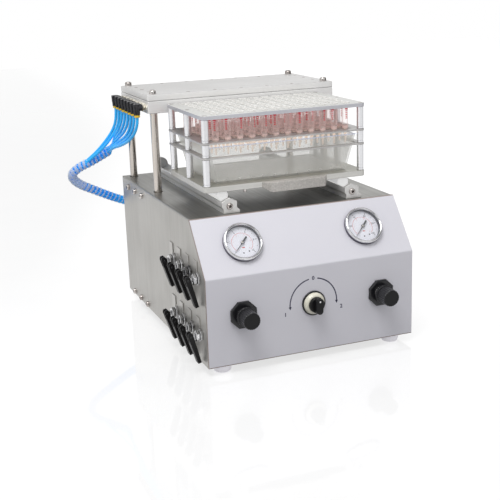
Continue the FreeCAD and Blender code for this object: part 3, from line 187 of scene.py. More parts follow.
finishes = {
    "sideSteel": mix((188, 186, 182), (173, 171, 167), (0.36, 0.5), 0.08, brushed, upright, Metallic=0.75),
    # topSteelShaded: the case's upward faces get a darker copy of the side steel, painted shade and dark reflection
    # from the rack above
    "topSteelShaded": mix((164, 163, 159), (138, 137, 133), (0.28, 0.42), 0.12, brushed, lengthways, Metallic=0.95),
    "filmLavender": mix((221, 220, 227), (216, 215, 223), (0.36, 0.44), 0.05, Specular_IOR_Level=0.35),
    "filmEdge": mix((160, 146, 140), (140, 127, 122), (0.4, 0.5), 0.05),
    "labelSteel": mix((190, 188, 184), (175, 173, 169), (0.3, 0.42), 0.06, brushed, upright, Metallic=0.75),
    "darkPrint": mix((62, 60, 86), (50, 48, 74), (0.5, 0.6), 0.05),
    "railAluminium": mix((226, 225, 223), (202, 201, 199), (0.3, 0.44), 0.1, brushed, lengthways, Metallic=0.5),
    # one aluminium for the head: its sides are painted lighter and its top faces (headTopShaded) darker, as painted
    # light and painted shade
    "headAluminium": mix((240, 239, 238), (226, 225, 224), (0.34, 0.46), 0.12, brushed, crossways, Metallic=0.25),
    "headTopShaded": mix((210, 209, 208), (196, 195, 194), (0.34, 0.46), 0.12, brushed, crossways, Metallic=0.4),
    "rackTop": mix((212, 212, 209), (200, 200, 197), (0.36, 0.48), 0.1, brushed, crossways, Metallic=0.35),
    "rackEdge": mix((208, 208, 214), (190, 190, 196), (0.3, 0.42), 0.1, brushed, crossways, Metallic=0.6),
    "rackBase": mix((220, 219, 215), (200, 199, 195), (0.34, 0.46), 0.12, brushed, crossways, Metallic=0.5),
    # rackFloorShaded: darker copy of the base plate steel for its upward faces, painted shade inside the tray
    "rackFloorShaded": mix((186, 185, 176), (162, 161, 152), (0.34, 0.46), 0.12, brushed, crossways, Metallic=0.7),
    # rackUnderShade: near black copy for the downward faces of the base plate and handle, painted shade under the rack
    "rackUnderShade": mix((72, 71, 68), (56, 55, 52), (0.4, 0.52), 0.12, brushed, crossways, Metallic=0.7),
    "handleGrey": mix((212, 208, 203), (150, 147, 143), (0.5, 0.64), 0.6, mottled, speckled, deep=0.0004,
                      Metallic=0.3),
    "shelfSteel": mix((204, 202, 200), (176, 174, 173), (0.28, 0.42), 0.08, brushed, crossways, Metallic=0.7),
    "chrome": mix((226, 226, 227), (206, 206, 208), (0.06, 0.14), 0.03, brushed, upright, Metallic=1.0),
    "postSteel": mix((240, 240, 242), (220, 220, 223), (0.14, 0.24), 0.04, brushed, upright, Metallic=0.85),
    "stemNickel": mix((206, 200, 186), (142, 137, 126), (0.18, 0.3), 0.2, mottled, speckled, Metallic=0.9),
    "columnSteel": mix((208, 201, 194), (184, 177, 170), (0.14, 0.24), 0.05, brushed, upright, Metallic=1.0),
    "screwSteel": mix((226, 222, 219), (128, 116, 110), (0.14, 0.26), 0.2, mottled, speckled, Metallic=1.0),
    # nutChromeGlints: bright and near black patches in the colour, painted glints and dark reflections on the valve
    # nuts and stems
    "nutChromeGlints": mix((254, 254, 255), (58, 58, 62), (0.06, 0.16), 0.5, mottled, glintPatches, deep=0.0006, Metallic=1.0),
    # socketShade: darker steel inside the screw sockets, painted shade in the recess
    "socketShade": mix((96, 88, 84), (70, 62, 59), (0.3, 0.44), 0.1, Metallic=0.8),
    "brass": mix((206, 176, 112), (176, 146, 88), (0.22, 0.36), 0.06, Metallic=1.0),
    "bronze": mix((176, 130, 82), (150, 108, 66), (0.34, 0.46), 0.08, Metallic=1.0),
    # slideWhite: paintedGlow is painted light that brightens the bar ends sitting in shade
    "slideWhite": mix((250, 250, 250), (243, 243, 243), (0.34, 0.46), 0.05, paintedGlow=0.45),
    "leverBlack": mix((22, 21, 22), (12, 11, 12), (0.36, 0.48), 0.04, Specular_IOR_Level=0.25),
    "knobBlack": mix((34, 34, 37), (22, 22, 25), (0.26, 0.38), 0.12, Specular_IOR_Level=0.4),
    "nutBlack": mix((26, 26, 30), (16, 16, 19), (0.24, 0.36), 0.1, Specular_IOR_Level=0.4),
    "faceBlack": mix((18, 18, 20), (10, 10, 12), (0.34, 0.46), 0.1, Specular_IOR_Level=0.25),
    "elbowBlack": mix((40, 40, 44), (24, 24, 28), (0.2, 0.32), 0.08),
    "rubberBlack": mix((40, 40, 41), (27, 27, 28), (0.6, 0.76), 0.3, deep=0.0002),
    # rubberGrey: the feet are light grey rubber; the colour is pushed lighter and paintedGlow added as painted light,
    # lifting them out of the shade under the case
    "rubberGrey": mix((236, 234, 240), (222, 220, 226), (0.5, 0.66), 0.25, deep=0.0002, paintedGlow=0.36),
    "sealGrey": mix((176, 176, 175), (156, 156, 156), (0.6, 0.74), 0.25, deep=0.0002),
    "collarYellow": mix((240, 204, 60), (222, 180, 44), (0.34, 0.46), 0.06),
    "ringCream": mix((235, 232, 216), (222, 219, 202), (0.26, 0.36), 0.04, Coat_Weight=0.25),
    "dotWhite": mix((246, 246, 246), (232, 232, 234), (0.3, 0.4), 0.04),
    "dialWhite": mix((240, 240, 248), (232, 232, 241), (0.42, 0.52), 0.03),
    "dialBlack": mix((52, 52, 58), (38, 38, 44), (0.46, 0.56), 0.03),
    "dialRed": mix((214, 104, 98), (200, 86, 82), (0.46, 0.56), 0.03),
    "needleBlack": mix((36, 36, 42), (26, 26, 32), (0.34, 0.44), 0.03),
    # gaugeInsideShade: near black lining inside the bezel, painted shadow of the deep bezel
    "gaugeInsideShade": mix((48, 48, 62), (32, 32, 46), (0.34, 0.46), 0.05),
    # bezelWallShade: the bezel's outer wall, the same chrome painted darker, as painted shade and dark reflection
    "bezelWallShade": mix((112, 110, 122), (88, 86, 98), (0.24, 0.36), 0.05, Metallic=1.0),
    "windowGlass": mix((244, 247, 248), (236, 240, 242), (0.02, 0.05), 0.01, glass=(0.03, 0.4, 0.25)),
    # trayClear, flangeClear, barrelClear, bedPink, fritPale, tipBeige and markRed: paintedGlow is painted light,
    # lifting the rack's plastic, beds and marks out of the shade inside the rack
    "trayClear": mix((204, 204, 200), (186, 186, 182), (0.08, 0.18), 0.03, glass=(0.2, 0.85, 0.3), paintedGlow=0.3),
    # rimPaintedSheen: bluish white with paintedGlow, a painted highlight along the tray's rim
    "rimPaintedSheen": mix((232, 236, 250), (214, 219, 238), (0.06, 0.14), 0.03, glass=(0.55, 0.95, 0.3), paintedGlow=0.25),
    "barrelClear": mix((234, 208, 204), (214, 184, 180), (0.12, 0.22), 0.03, glass=(0.14, 0.62, 0.45), paintedGlow=0.24),
    "flangeClear": mix((226, 225, 222), (210, 209, 206), (0.2, 0.32), 0.04, glass=(0.6, 0.85, 0.4), paintedGlow=0.2),
    "bedPink": mix((226, 204, 198), (208, 184, 178), (0.6, 0.72), 0.2, paintedGlow=0.16),
    "fritPale": mix((204, 188, 182), (184, 168, 162), (0.6, 0.72), 0.2, paintedGlow=0.12),
    "tipBeige": mix((236, 220, 206), (220, 202, 188), (0.3, 0.42), 0.04, glass=(0.55, 0.9, 0.4), paintedGlow=0.5),
    "markRed": mix((208, 50, 66), (188, 36, 52), (0.5, 0.6), 0.03, paintedGlow=0.28),
    # tubeBlue, innerBlue and wrapClear: paintedGlow is painted light that keeps the tubes bright blue where they sit
    # in shade
    "tubeBlue": mix((58, 190, 255), (34, 168, 250), (0.32, 0.44), 0.03, paintedGlow=0.16),
    "innerBlue": mix((56, 186, 255), (16, 122, 230), (0.32, 0.44), 0.05, mottled, (60, 60, 60), paintedGlow=0.2),
    "wrapClear": mix((226, 231, 235), (206, 214, 221), (0.3, 0.42), 0.05, glass=(0.6, 0.9, 0.4), paintedGlow=0.05),
    "innerSteel": mix((180, 180, 178), (152, 152, 150), (0.36, 0.5), 0.1, brushed, lengthways, Metallic=0.9),
    "switchBlack": mix((52, 52, 54), (40, 40, 42), (0.5, 0.6), 0.1),
}
for finishName, finish in finishes.items():
    finish.name = finishName
print("finishes mixed:", len(finishes))


# Building tools: everything is drawn in millimetres on a seat, a frame with its own normal
def seat(x, y, z, normal=(0, 0, 1), top=(0, 1, 0)):
    outward = Vector(normal).normalized()
    upward = (Vector(top) - outward * Vector(top).dot(outward)).normalized()
    place = Matrix((upward.cross(outward), upward, outward)).transposed().to_4x4()
    place.translation = (x, y, z)
    return place


def turnProfile(mesh, place, profile, count=32, turn=0.0, ribs=0.0):
    rings = []
    for radius, height in profile:
        if radius == 0:
            rings.append([mesh.verts.new(place @ Vector((0, 0, height)))])
            continue
        ring = []
        for i in range(count):
            angle = math.radians(turn) + 2 * math.pi * i / count
            reach = radius - ribs * (i % 2)
            ring.append(mesh.verts.new(place @ Vector((reach * math.cos(angle), reach * math.sin(angle), height))))
        rings.append(ring)
    for low, high in zip(rings, rings[1:]):
        for i in range(count):
            j = (i + 1) % count
            corners = []
            for vertex in (low[i % len(low)], low[j % len(low)], high[j % len(high)], high[i % len(high)]):
                if vertex not in corners:
                    corners.append(vertex)
            if len(corners) > 2:
                mesh.faces.new(corners)


def addPrism(mesh, place, outline, low, high, edge=0.0, segments=2):
    rings = [[mesh.verts.new(place @ Vector((u, v, height))) for u, v in outline] for height in (low, high)]
    faces = [mesh.faces.new(rings[0]), mesh.faces.new(rings[1])]
    for i in range(len(outline)):
        j = (i + 1) % len(outline)
        faces.append(mesh.faces.new((rings[0][i], rings[0][j], rings[1][j], rings[1][i])))
    if edge:
        edges = list({line for face in faces for line in face.edges})
        bmesh.ops.bevel(mesh, geom=edges, offset=edge, offset_type="OFFSET", segments=segments, profile=0.5,
                        affect="EDGES", clamp_overlap=True)


def addBlock(mesh, place, low, high, edge=0.3):
    outline = [(low[0], low[1]), (high[0], low[1]), (high[0], high[1]), (low[0], high[1])]
    addPrism(mesh, place, outline, low[2], high[2], edge)


def addBand(mesh, place, radius, width, start, end, height, steps=40):
    last = None
    for i in range(steps + 1):
        angle = math.radians(start + (end - start) * i / steps)
        pair = [mesh.verts.new(place @ Vector((reach * math.cos(angle), reach * math.sin(angle), height)))
                for reach in (radius - width / 2, radius + width / 2)]
        if last:
            mesh.faces.new((last[0], last[1], pair[1], pair[0]))
        last = pair


def addTick(mesh, place, inner, outer, width, angle, height):
    turned = place @ Matrix.Rotation(math.radians(angle), 4, "Z")
    corners = [(inner, -width / 2), (outer, -width / 2), (outer, width / 2), (inner, width / 2)]
    mesh.faces.new([mesh.verts.new(turned @ Vector((u, v, height))) for u, v in corners])


def addNumber(mesh, place, words, size, weight=0.0):
    text = bpy.data.curves.new("numberText", "FONT")
    text.body = words
    text.size = size
    text.offset = weight
    text.align_x = "CENTER"
    text.align_y = "CENTER"
    holder = bpy.data.objects.new("numberText", text)
    flat = bpy.data.meshes.new_from_object(holder)
    flat.transform(place)
    mesh.from_mesh(flat)
    bpy.data.meshes.remove(flat)
    bpy.data.objects.remove(holder)
    bpy.data.curves.remove(text)


def placePiece(name, data, body, finish, stands=(), blended=False):
    data.materials.clear()
    data.materials.append(finishes[finish])
    thing = bpy.data.objects.new(name, data)
    bpy.context.scene.collection.objects.link(thing)
    if not blended:
        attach(thing, body)
    if stands:
        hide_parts(*stands)
    return thing


def makePiece(name, mesh, body, finish, stands=(), crease=35, metres=False, blended=False):
    bmesh.ops.recalc_face_normals(mesh, faces=mesh.faces)
    if not metres:
        mesh.transform(Matrix.Translation(caseMiddle) @ Matrix.Scale(millimetre, 4))
    data = bpy.data.meshes.new(name)
    mesh.to_mesh(data)
    mesh.free()
    data.shade_smooth()
    data.set_sharp_from_angle(angle=math.radians(crease))
    return placePiece(name, data, body, finish, stands, blended)


def soften(name, node, body, finish, edge=0.4, segments=2, crease=25):
    mesh = bmesh.new()
    mesh.from_mesh(nodes[node].data)
    bmesh.ops.remove_doubles(mesh, verts=mesh.verts, dist=1e-6)
    bmesh.ops.dissolve_limit(mesh, angle_limit=math.radians(1), verts=mesh.verts, edges=mesh.edges)
    lines = [line for line in mesh.edges
             if len(line.link_faces) == 2 and line.calc_face_angle(0) > math.radians(crease)]
    bmesh.ops.bevel(mesh, geom=lines, offset=edge * millimetre, offset_type="OFFSET", segments=segments, profile=0.5,
                    affect="EDGES", clamp_overlap=True)
    thing = makePiece(name, mesh, body, finish, (node,), metres=True)
    even = thing.modifiers.new("evenNormals", "WEIGHTED_NORMAL")
    even.keep_sharp = True
    return thing


def faceUp(thing, finish, way=1):
    thing.data.materials.append(finishes[finish])
    for face in thing.data.polygons:
        if face.normal.z * way > 0.7:
            face.material_index = len(thing.data.materials) - 1


def dress(finish, *names):
    for name in names:
        nodes[name].data.materials.clear()
        nodes[name].data.materials.append(finishes[finish])


# Tubes: routes as in the model, read back from their own smooth splines
cordParts = {"fittingX": -140.0, "firstY": 44.5, "pitch": 15.3, "collarBottom": 272.45, "drop": 11.0,
             "tubeRadius": 1.95, "bundleRadius": 6.6, "strandRing": 4.1, "strandRadius": 1.8, "strandTwist": 14.0,
             "wrapPitch": 6.2, "wrapStep": 0.0008, "wrapSides": 28, "wrapSwell": 0.45, "wrapGap": -0.3,
             "foldAt": 0.142, "foldSpread": 0.034, "looseBand": 0.24, "openBand": 0.52, "closeBand": 0.95,
             "ringCount": 7, "strandStride": 3, "wrapEdge": (0.02, 0.1), "bundled": 6, "bundleLength": 0.2177,
             "tubeLengths": (0.1473, 0.1336, 0.1228, 0.1112, 0.0994, 0.0868, 0.1051, 0.1071)}
bundleRoute = [(-88, 173, 118), (-90, 196, 120), (-108, 211, 125), (-141, 205, 139), (-170, 200, 154),
               (-192, 196, 166), (-201, 190, 179), (-191, 184, 190), (-172, 178, 198), (-150, 172, 211)]
tubeMiddles = [
    [(-145, 60, 243), (-150, 100, 229), (-150, 140, 221)],
    [(-144, 76, 243), (-148, 110, 230), (-148, 144, 222)],
    [(-143, 89, 244), (-146, 120, 232), (-146, 148, 223)],
    [(-143, 103, 246), (-145, 128, 235), (-146, 152, 225)],
    [(-143, 116, 247), (-145, 134, 237), (-146, 154, 226)],
    [(-143, 129, 248), (-145, 142, 238), (-145, 157, 227)],
    [(-142, 142, 247), (-151, 152, 230), (-162, 162, 215), (-175, 171, 203), (-184, 180, 193)],
    [(-143, 156, 245), (-153, 164, 228), (-166, 171, 212), (-180, 178, 199), (-190, 185, 189)],
]


def splineLine(route):
    curve = bpy.data.curves.new("routeLine", "CURVE")
    curve.dimensions = "3D"
    spline = curve.splines.new("NURBS")
    spline.points.add(len(route) - 1)
    for point, place in zip(spline.points, route):
        point.co = (*at(*place), 1)
    spline.order_u = 3
    spline.use_endpoint_u = True
    spline.resolution_u = 14
    holder = bpy.data.objects.new("routeLine", curve)
    line = bpy.data.meshes.new_from_object(holder)
    points = [vertex.co.copy() for vertex in line.vertices]
    bpy.data.meshes.remove(line)
    bpy.data.objects.remove(holder)
    bpy.data.curves.remove(curve)
    return points


def carryFrames(points):
    tangents = []
    for i in range(len(points)):
        before, after = points[max(i - 1, 0)], points[min(i + 1, len(points) - 1)]
        tangents.append((after - before).normalized())
    side = tangents[0].orthogonal().normalized()
    found = []
    for point, tangent in zip(points, tangents):
        side = (side - tangent * side.dot(tangent)).normalized()
        found.append((point, side, tangent.cross(side)))
    return found


def around(side, top, angle):
    return side * math.cos(angle) + top * math.sin(angle)


def sweepTube(mesh, points, radius, count=14):
    rings = []
    for point, side, top in carryFrames(points):
        rings.append([mesh.verts.new(point + around(side, top, 2 * math.pi * i / count) * radius)
                      for i in range(count)])
    for low, high in zip(rings, rings[1:]):
        for i in range(count):
            j = (i + 1) % count
            mesh.faces.new((low[i], low[j], high[j], high[i]))
    mesh.faces.new(rings[0])
    mesh.faces.new(list(reversed(rings[-1])))


def densify(points, step):
    line = [points[0]]
    for start, end in zip(points, points[1:]):
        parts = max(1, round((end - start).length / step))
        line += [start.lerp(end, i / parts) for i in range(1, parts + 1)]
    return line


def makeBundle(facts):
    line = splineLine(bundleRoute)
    fine = densify(line, facts["wrapStep"])
    frames = carryFrames(fine)
    # a ring of strands round a straight one, twisting slowly inside the wrap
    strands = bmesh.new()
    for k in range(facts["ringCount"] + 1):
        path = []
        travelled = 0.0
        for i, (point, side, top) in enumerate(frames):
            travelled += (point - frames[i - 1][0]).length if i else 0
            if i % facts["strandStride"] and i != len(frames) - 1:
                continue
            angle = 2 * math.pi * k / facts["ringCount"] + travelled * facts["strandTwist"]
            reach = facts["strandRing"] * millimetre if k < facts["ringCount"] else 0
            path.append(point + around(side, top, angle) * reach)
        sweepTube(strands, path, facts["strandRadius"] * millimetre, 8)
    inner = makePiece("bundleStrands", strands, "case", "innerBlue", (), metres=True)
    # spiral wrap: a helical band, narrow near the case and nearly closed at the fold
    wrap = bmesh.new()
    pitch = facts["wrapPitch"] * millimetre
    count, swollen = facts["wrapSides"], facts["wrapSwell"]
    rings, bands = [], []
    travelled = 0.0
    for k, (point, side, top) in enumerate(frames):
        travelled += (point - frames[k - 1][0]).length if k else 0
        closeness = math.exp(-((travelled - facts["foldAt"]) / facts["foldSpread"]) ** 2)
        usual = facts["looseBand"] if travelled < facts["foldAt"] else facts["openBand"]
        band = usual + (facts["closeBand"] - usual) * closeness
        bands.append(band)
        ring = []
        for i in range(count):
            phase = (travelled / pitch + i / count) % 1.0
            swell = swollen * math.sin(phase / band * math.pi) ** 0.5 if phase < band else facts["wrapGap"]
            reach = (facts["bundleRadius"] - swollen + swell) * millimetre
            vertex = wrap.verts.new(point + around(side, top, 2 * math.pi * i / count) * reach)
            ring.append((vertex, phase))
        rings.append(ring)
    for band, low, high in zip(bands, rings, rings[1:]):
        for i in range(count):
            j = (i + 1) % count
            if low[i][1] < band + facts["wrapEdge"][0] and high[j][1] < band + facts["wrapEdge"][1]:
                wrap.faces.new((low[i][0], low[j][0], high[j][0], high[i][0]))
    cover = makePiece("spiralWrap", wrap, "case", "wrapClear", ("tube_wrap",), 60, metres=True)
    return frames[-1]


def makeTubes(facts, last):
    point, side, top = last
    end = (point - caseMiddle) / millimetre
    along = side.cross(top)
    across = along.cross(up).normalized()
    upward = across.cross(along)
    ring = (facts["tubeRadius"] + 0.05) / math.sin(math.pi / facts["ringCount"])
    for i, middles in enumerate(tubeMiddles):
        finish = end + around(across, upward, 2 * math.pi * i / facts["ringCount"]) * ring
        start = (facts["fittingX"], facts["firstY"] + i * facts["pitch"], facts["collarBottom"])
        below = (start[0], start[1], start[2] - facts["drop"])
        line = splineLine([start, below] + middles + ([tuple(finish)] if i < facts["bundled"] else []))
        mesh = bmesh.new()
        sweepTube(mesh, line, facts["tubeRadius"] * millimetre)
        tube = makePiece(f"airTube{i + 1}", mesh, "head", "tubeBlue", ("air_tubes",), metres=True,
                         blended=True)
        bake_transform(tube)


makeTubes(cordParts, makeBundle(cordParts))
print("tubes and wrapped bundle routed")


# Case
caseParts = {"edge": 0.5, "bendSteps": 8, "filmInset": 0.5, "filmGap": 0.02, "filmThickness": 0.35, "bendRadius": 3.5,
             "filmLow": 11.2, "front": -170.0, "bendLevel": 115.5, "slopeTop": (-123.1, 174.25), "half": 132.5}


def makeCase(facts):
    shell = soften("caseShell", "case_wrap", "case", "sideSteel", facts["edge"])
    # upward faces of the case take the darker steel, painted shade
    faceUp(shell, "topSteelShaded")
    soften("frontPlate", "front_panel", "case", "filmEdge", 0.35)
    soften("backPlate", "rear_panel", "case", "sideSteel", facts["edge"])
    # printed film over the front, bent round the fold
    rise, back = facts["slopeTop"][1] - facts["bendLevel"], facts["slopeTop"][0] - facts["front"]
    turn = math.pi / 2 - math.atan2(rise, back)
    tangent = facts["bendRadius"] * math.tan(turn / 2)
    middle = (facts["front"] + facts["bendRadius"], facts["bendLevel"] - tangent)
    mesh = bmesh.new()
    rows = []
    for lift in (facts["filmGap"], facts["filmThickness"]):
        reach = facts["bendRadius"] + lift
        line = [(facts["front"] - lift, facts["filmLow"])]
        for i in range(facts["bendSteps"] + 1):
            angle = turn * i / facts["bendSteps"]
            line.append((middle[0] - reach * math.cos(angle), middle[1] + reach * math.sin(angle)))
        line.append((facts["slopeTop"][0] - lift * math.cos(turn), facts["slopeTop"][1] + lift * math.sin(turn)))
        rows.append(line)
    outline = rows[1] + rows[0][::-1]
    width = facts["half"] - facts["filmInset"]
    place = seat(-width, 0, 0, (1, 0, 0), (0, 0, 1))
    addPrism(mesh, place, outline, 0, 2 * width)
    makePiece("panelFilm", mesh, "case", "filmLavender", (), 30)


# Screw shapes: width as a part of the radius, height as a part of the head or in millimetres
domeShape = [(1, 0), (1, 0.55), (0.93, 0.82), (0.78, 0.97), (0.66, 1)]
flushShape = [(1, -0.3), (1, 0.12), (0.92, 0.18), (0.5, 0.18)]
flushSocket = [(0.5, 0.18), (0.45, -0.3), (0, -0.3)]


def addScrew(mesh, dark, place, radius, height, socket=0.5):
    inner = radius * socket
    dome = [(radius * wide, height * tall) for wide, tall in domeShape]
    turnProfile(mesh, place, dome + [(inner, height)], 28)
    # the socket goes into the dark mesh, which carries painted shade
    turnProfile(dark, place, [(inner, height), (inner * 0.96, height * 0.4), (0, height * 0.4)], 6)


def addFlushScrew(mesh, place, radius):
    for shape, count in ((flushShape, 24), (flushSocket, 6)):
        turnProfile(mesh, place, [(radius * wide, height) for wide, height in shape], count)


screwParts = {"side": 132.5, "sideSocket": 0.42, "radius": 3.8, "height": 3.4, "stopHeight": 2.6,
              "sideRows": (73.5, 105.5, 137.5), "levels": (165.0, 15.0),
              "stopX": 79.5, "stopY": -115.0, "stopLevel": 183.7}


def makeScrews(facts):
    mesh, dark = bmesh.new(), bmesh.new()
    for hand in (-1, 1):
        for y in facts["sideRows"]:
            for level in facts["levels"]:
                place = seat(hand * facts["side"], y, level, (hand, 0, 0), (0, 0, 1))
                addScrew(mesh, dark, place, facts["radius"], facts["height"], facts["sideSocket"])
        addScrew(mesh, dark, seat(hand * facts["stopX"], facts["stopY"], facts["stopLevel"], (0, -1, 0), (0, 0, 1)),
                 facts["radius"], facts["stopHeight"])
    makePiece("caseScrews", mesh, "case", "screwSteel", ("case_screws",))
    makePiece("screwSockets", dark, "case", "socketShade")


footParts = {"x": 110.5, "y": 154.0, "profile": [(0, 0), (9.2, 0), (10.0, 0.8), (11.7, 8.6), (12.0, 9.2), (12.0, 10)]}


def makeFeet(facts):
    mesh = bmesh.new()
    for x in (-1, 1):
        for y in (-1, 1):
            turnProfile(mesh, seat(x * facts["x"], y * facts["y"], 0), facts["profile"], 40)
    makePiece("rubberFeet", mesh, "case", "rubberGrey", ("rubber_feet",))


makeCase(caseParts)
makeScrews(screwParts)
makeFeet(footParts)
soften("rails", "guide_rails", "case", "railAluminium", 0.4)
soften("railEnds", "rail_stops", "case", "railAluminium", 0.5)
dress("innerSteel", "floor_pan", "guide_plates", "lift_yoke", "lift_cylinder")
dress("bronze", "guide_bushes")
dress("chrome", "lift_piston", "low_regulator_spindle", "high_regulator_spindle")
dress("switchBlack", "switch_block")
dress("railAluminium", "regulator_bodies")
print("case, rails and feet dressed")

# Pressure head and its columns
headParts = {"columnX": 118.7, "columnY": (42.9, 158.4), "columnRadius": 5.0, "columnLow": 84.0, "bottom": 276.9,
             "coverTop": 300.3, "boltRadius": 4.6, "boltHeight": 5.0, "boltSocket": 0.56, "flushRadius": 2.6,
             "flush": [(x, y) for x in (-116, 116) for y in (70, 100, 130)]
             + [(x, y) for x in (-72, -36, 0, 36, 72) for y in (41, 155)]}


def makeHead(facts):
    posts, bolts, dark, flush = (bmesh.new() for _ in range(4))
    for hand in (-1, 1):
        for y in facts["columnY"]:
            x = hand * facts["columnX"]
            reach = facts["columnRadius"]
            turnProfile(posts, seat(x, y, 0), [(0, facts["columnLow"]), (reach, facts["columnLow"]),
                                               (reach, facts["bottom"]), (0, facts["bottom"])], 48)
            addScrew(bolts, dark, seat(x, y, facts["coverTop"]), facts["boltRadius"], facts["boltHeight"],
                     facts["boltSocket"])
    for x, y in facts["flush"]:
        addFlushScrew(flush, seat(x, y, facts["coverTop"]), facts["flushRadius"])
    makePiece("guideColumns", posts, "head", "columnSteel", ("guide_columns",))
    makePiece("headBolts", bolts, "head", "screwSteel", ("head_bolts",))
    makePiece("boltSockets", dark, "head", "socketShade")
    makePiece("coverScrews", flush, "head", "screwSteel", ())
    soften("headBlock", "manifold_block", "head", "headAluminium", 0.8, 3)
    # the cover's top faces take the darker copy, painted shade
    faceUp(soften("headCover", "manifold_cover", "head", "headAluminium", 0.8, 3), "headTopShaded")
    dress("sealGrey", "gasket_sheet", "seal_pad")


fittingParts = {"face": -128.4, "x": -140.0, "level": 284.55, "firstY": 44.5, "pitch": 15.3, "ribs": 0.7,
                "pushed": (0.0, 0.5, 0.2, 0.7, 0.1, 0.6, 0.3, 0.5),
                "stem": [(4.0, 0), (4.0, 0.6), (3.3, 0.9), (3.3, 1.4), (4.0, 1.7), (4.0, 5.0)],
                "arm": [(0, 4.6), (4.0, 4.6), (4.4, 5.0), (4.4, 11.6), (0, 11.6)],
                "drop": [(0, 275.05), (3.7, 275.05), (4.1, 275.65), (4.3, 280.5), (4.7, 281.2), (5.0, 288.9),
                         (4.5, 289.55), (0, 289.55)],
                "collar": [(2.3, 272.45), (3.6, 272.45), (3.9, 272.8), (3.9, 273.9), (3.4, 274.2), (3.4, 275.9)]}


def makeFittings(facts):
    stems, elbows, collars = bmesh.new(), bmesh.new(), bmesh.new()
    for i, pushed in enumerate(facts["pushed"]):
        y = facts["firstY"] + i * facts["pitch"]
        out = seat(facts["face"], y, facts["level"], (-1, 0, 0), (0, 0, 1))
        turnProfile(stems, out, facts["stem"], 6)
        turnProfile(elbows, out, facts["arm"], 28)
        drop = seat(facts["x"], y, 0)
        turnProfile(elbows, drop, facts["drop"], 28, 0, facts["ribs"])
        turnProfile(collars, drop @ Matrix.Translation((0, 0, pushed)), facts["collar"], 32)
    makePiece("fittingStems", stems, "head", "stemNickel", ("elbow_fittings",))
    makePiece("elbows", elbows, "head", "elbowBlack", ("elbow_fittings",), 25)
    makePiece("collars", collars, "head", "collarYellow", ("fitting_collars",))


makeHead(headParts)
makeFittings(fittingParts)
print("head and fittings dressed")

# Sliding rack
rackParts = {"postX": 99.9, "postY": (-98.2, -35.75, 26.7), "postRadius": 4.3,
             "tiers": [("lower_posts", "rack", 205.6, 237.6), ("upper_posts", "upper_rack", 239.6, 254.7),
                       ("upper_posts", "upper_rack", 256.7, 283.6)],
             "top": 288.1, "flushRadius": 2.7, "rim": 1.2, "rimRise": 0.1, "rimEdge": 0.4,
             "pitch": 15.3, "pipRow": -82.0, "pipLevel": 207.4,
             "postEdge": 0.5, "groove": [(0, 2.2), (0.45, 2.5), (0.45, 3.0), (0, 3.3)],
             "pip": [(1.6, -0.2), (1.6, 0.9), (1.1, 1.5), (0, 1.7)],
             "studPlace": (-52, -95, 0), "stud": [(0, 194), (1.7, 194), (2.0, 194.4), (2.0, 198.8)]}


def makeRack(facts):
    base = soften("rackBase", "rack_base_plate", "rack", "rackBase", 0.5)
    # upward faces of the base plate take the darker steel, painted shade
    faceUp(base, "rackFloorShaded")
    # downward faces of the base plate and handle take painted shade
    faceUp(base, "rackUnderShade", -1)
    faceUp(soften("rackHandle", "rack_handle", "rack", "handleGrey", 0.7, 3), "rackUnderShade", -1)
    soften("lowerShelf", "lower_shelf", "rack", "shelfSteel", 0.25)
    soften("upperShelf", "upper_shelf", "upper_rack", "shelfSteel", 0.25)
    faceUp(soften("rackTopPlate", "rack_top_plate", "upper_rack", "rackEdge", 0.35), "rackTop")
    soften("wasteTray", "waste_tray", "rack", "trayClear", 0.9, 3)
    low, high = ((corner - caseMiddle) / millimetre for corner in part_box("waste_tray"))
    rim, wide, top, edge = bmesh.new(), facts["rim"], high.z + facts["rimRise"], facts["rimEdge"]
    for y in (low.y, high.y - wide):
        addBlock(rim, seat(0, 0, 0), (low.x, y, high.z - wide), (high.x, y + wide, top), edge)
    for x in (low.x, high.x - wide):
        addBlock(rim, seat(0, 0, 0), (x, low.y, high.z - wide), (x + wide, high.y, top), edge)
    # the rim beads carry a painted highlight
    makePiece("trayRim", rim, "rack", "rimPaintedSheen")
    soften("slideBars", "slide_bars", "rack", "slideWhite", 0.8, 3)
    for number, (node, body, low, high) in enumerate(facts["tiers"]):
        mesh = bmesh.new()
        for x in (-1, 1):
            for y in facts["postY"]:
                reach, edge = facts["postRadius"], facts["postEdge"]
                groove = [(reach - deep, low + level) for deep, level in facts["groove"]]
                turnProfile(mesh, seat(x * facts["postX"], y, 0),
                            [(0, low), (reach - edge, low), (reach, low + edge)] + groove
                            + [(reach, high - edge), (reach - edge, high), (0, high)], 36)
        makePiece(f"posts{number}", mesh, body, "postSteel", (node,))
    screws = bmesh.new()
    for x in (-1, 1):
        for y in facts["postY"]:
            addFlushScrew(screws, seat(x * facts["postX"], y, facts["top"]), facts["flushRadius"])
    makePiece("postScrews", screws, "upper_rack", "screwSteel")
    pips, stud = bmesh.new(), bmesh.new()
    for i in range(12):
        turnProfile(pips, seat((i - 5.5) * facts["pitch"], facts["pipRow"], facts["pipLevel"]), facts["pip"], 16)
    turnProfile(stud, seat(*facts["studPlace"]), facts["stud"], 20)
    makePiece("trayPips", pips, "rack", "dotWhite")
    makePiece("baseStud", stud, "rack", "screwSteel")


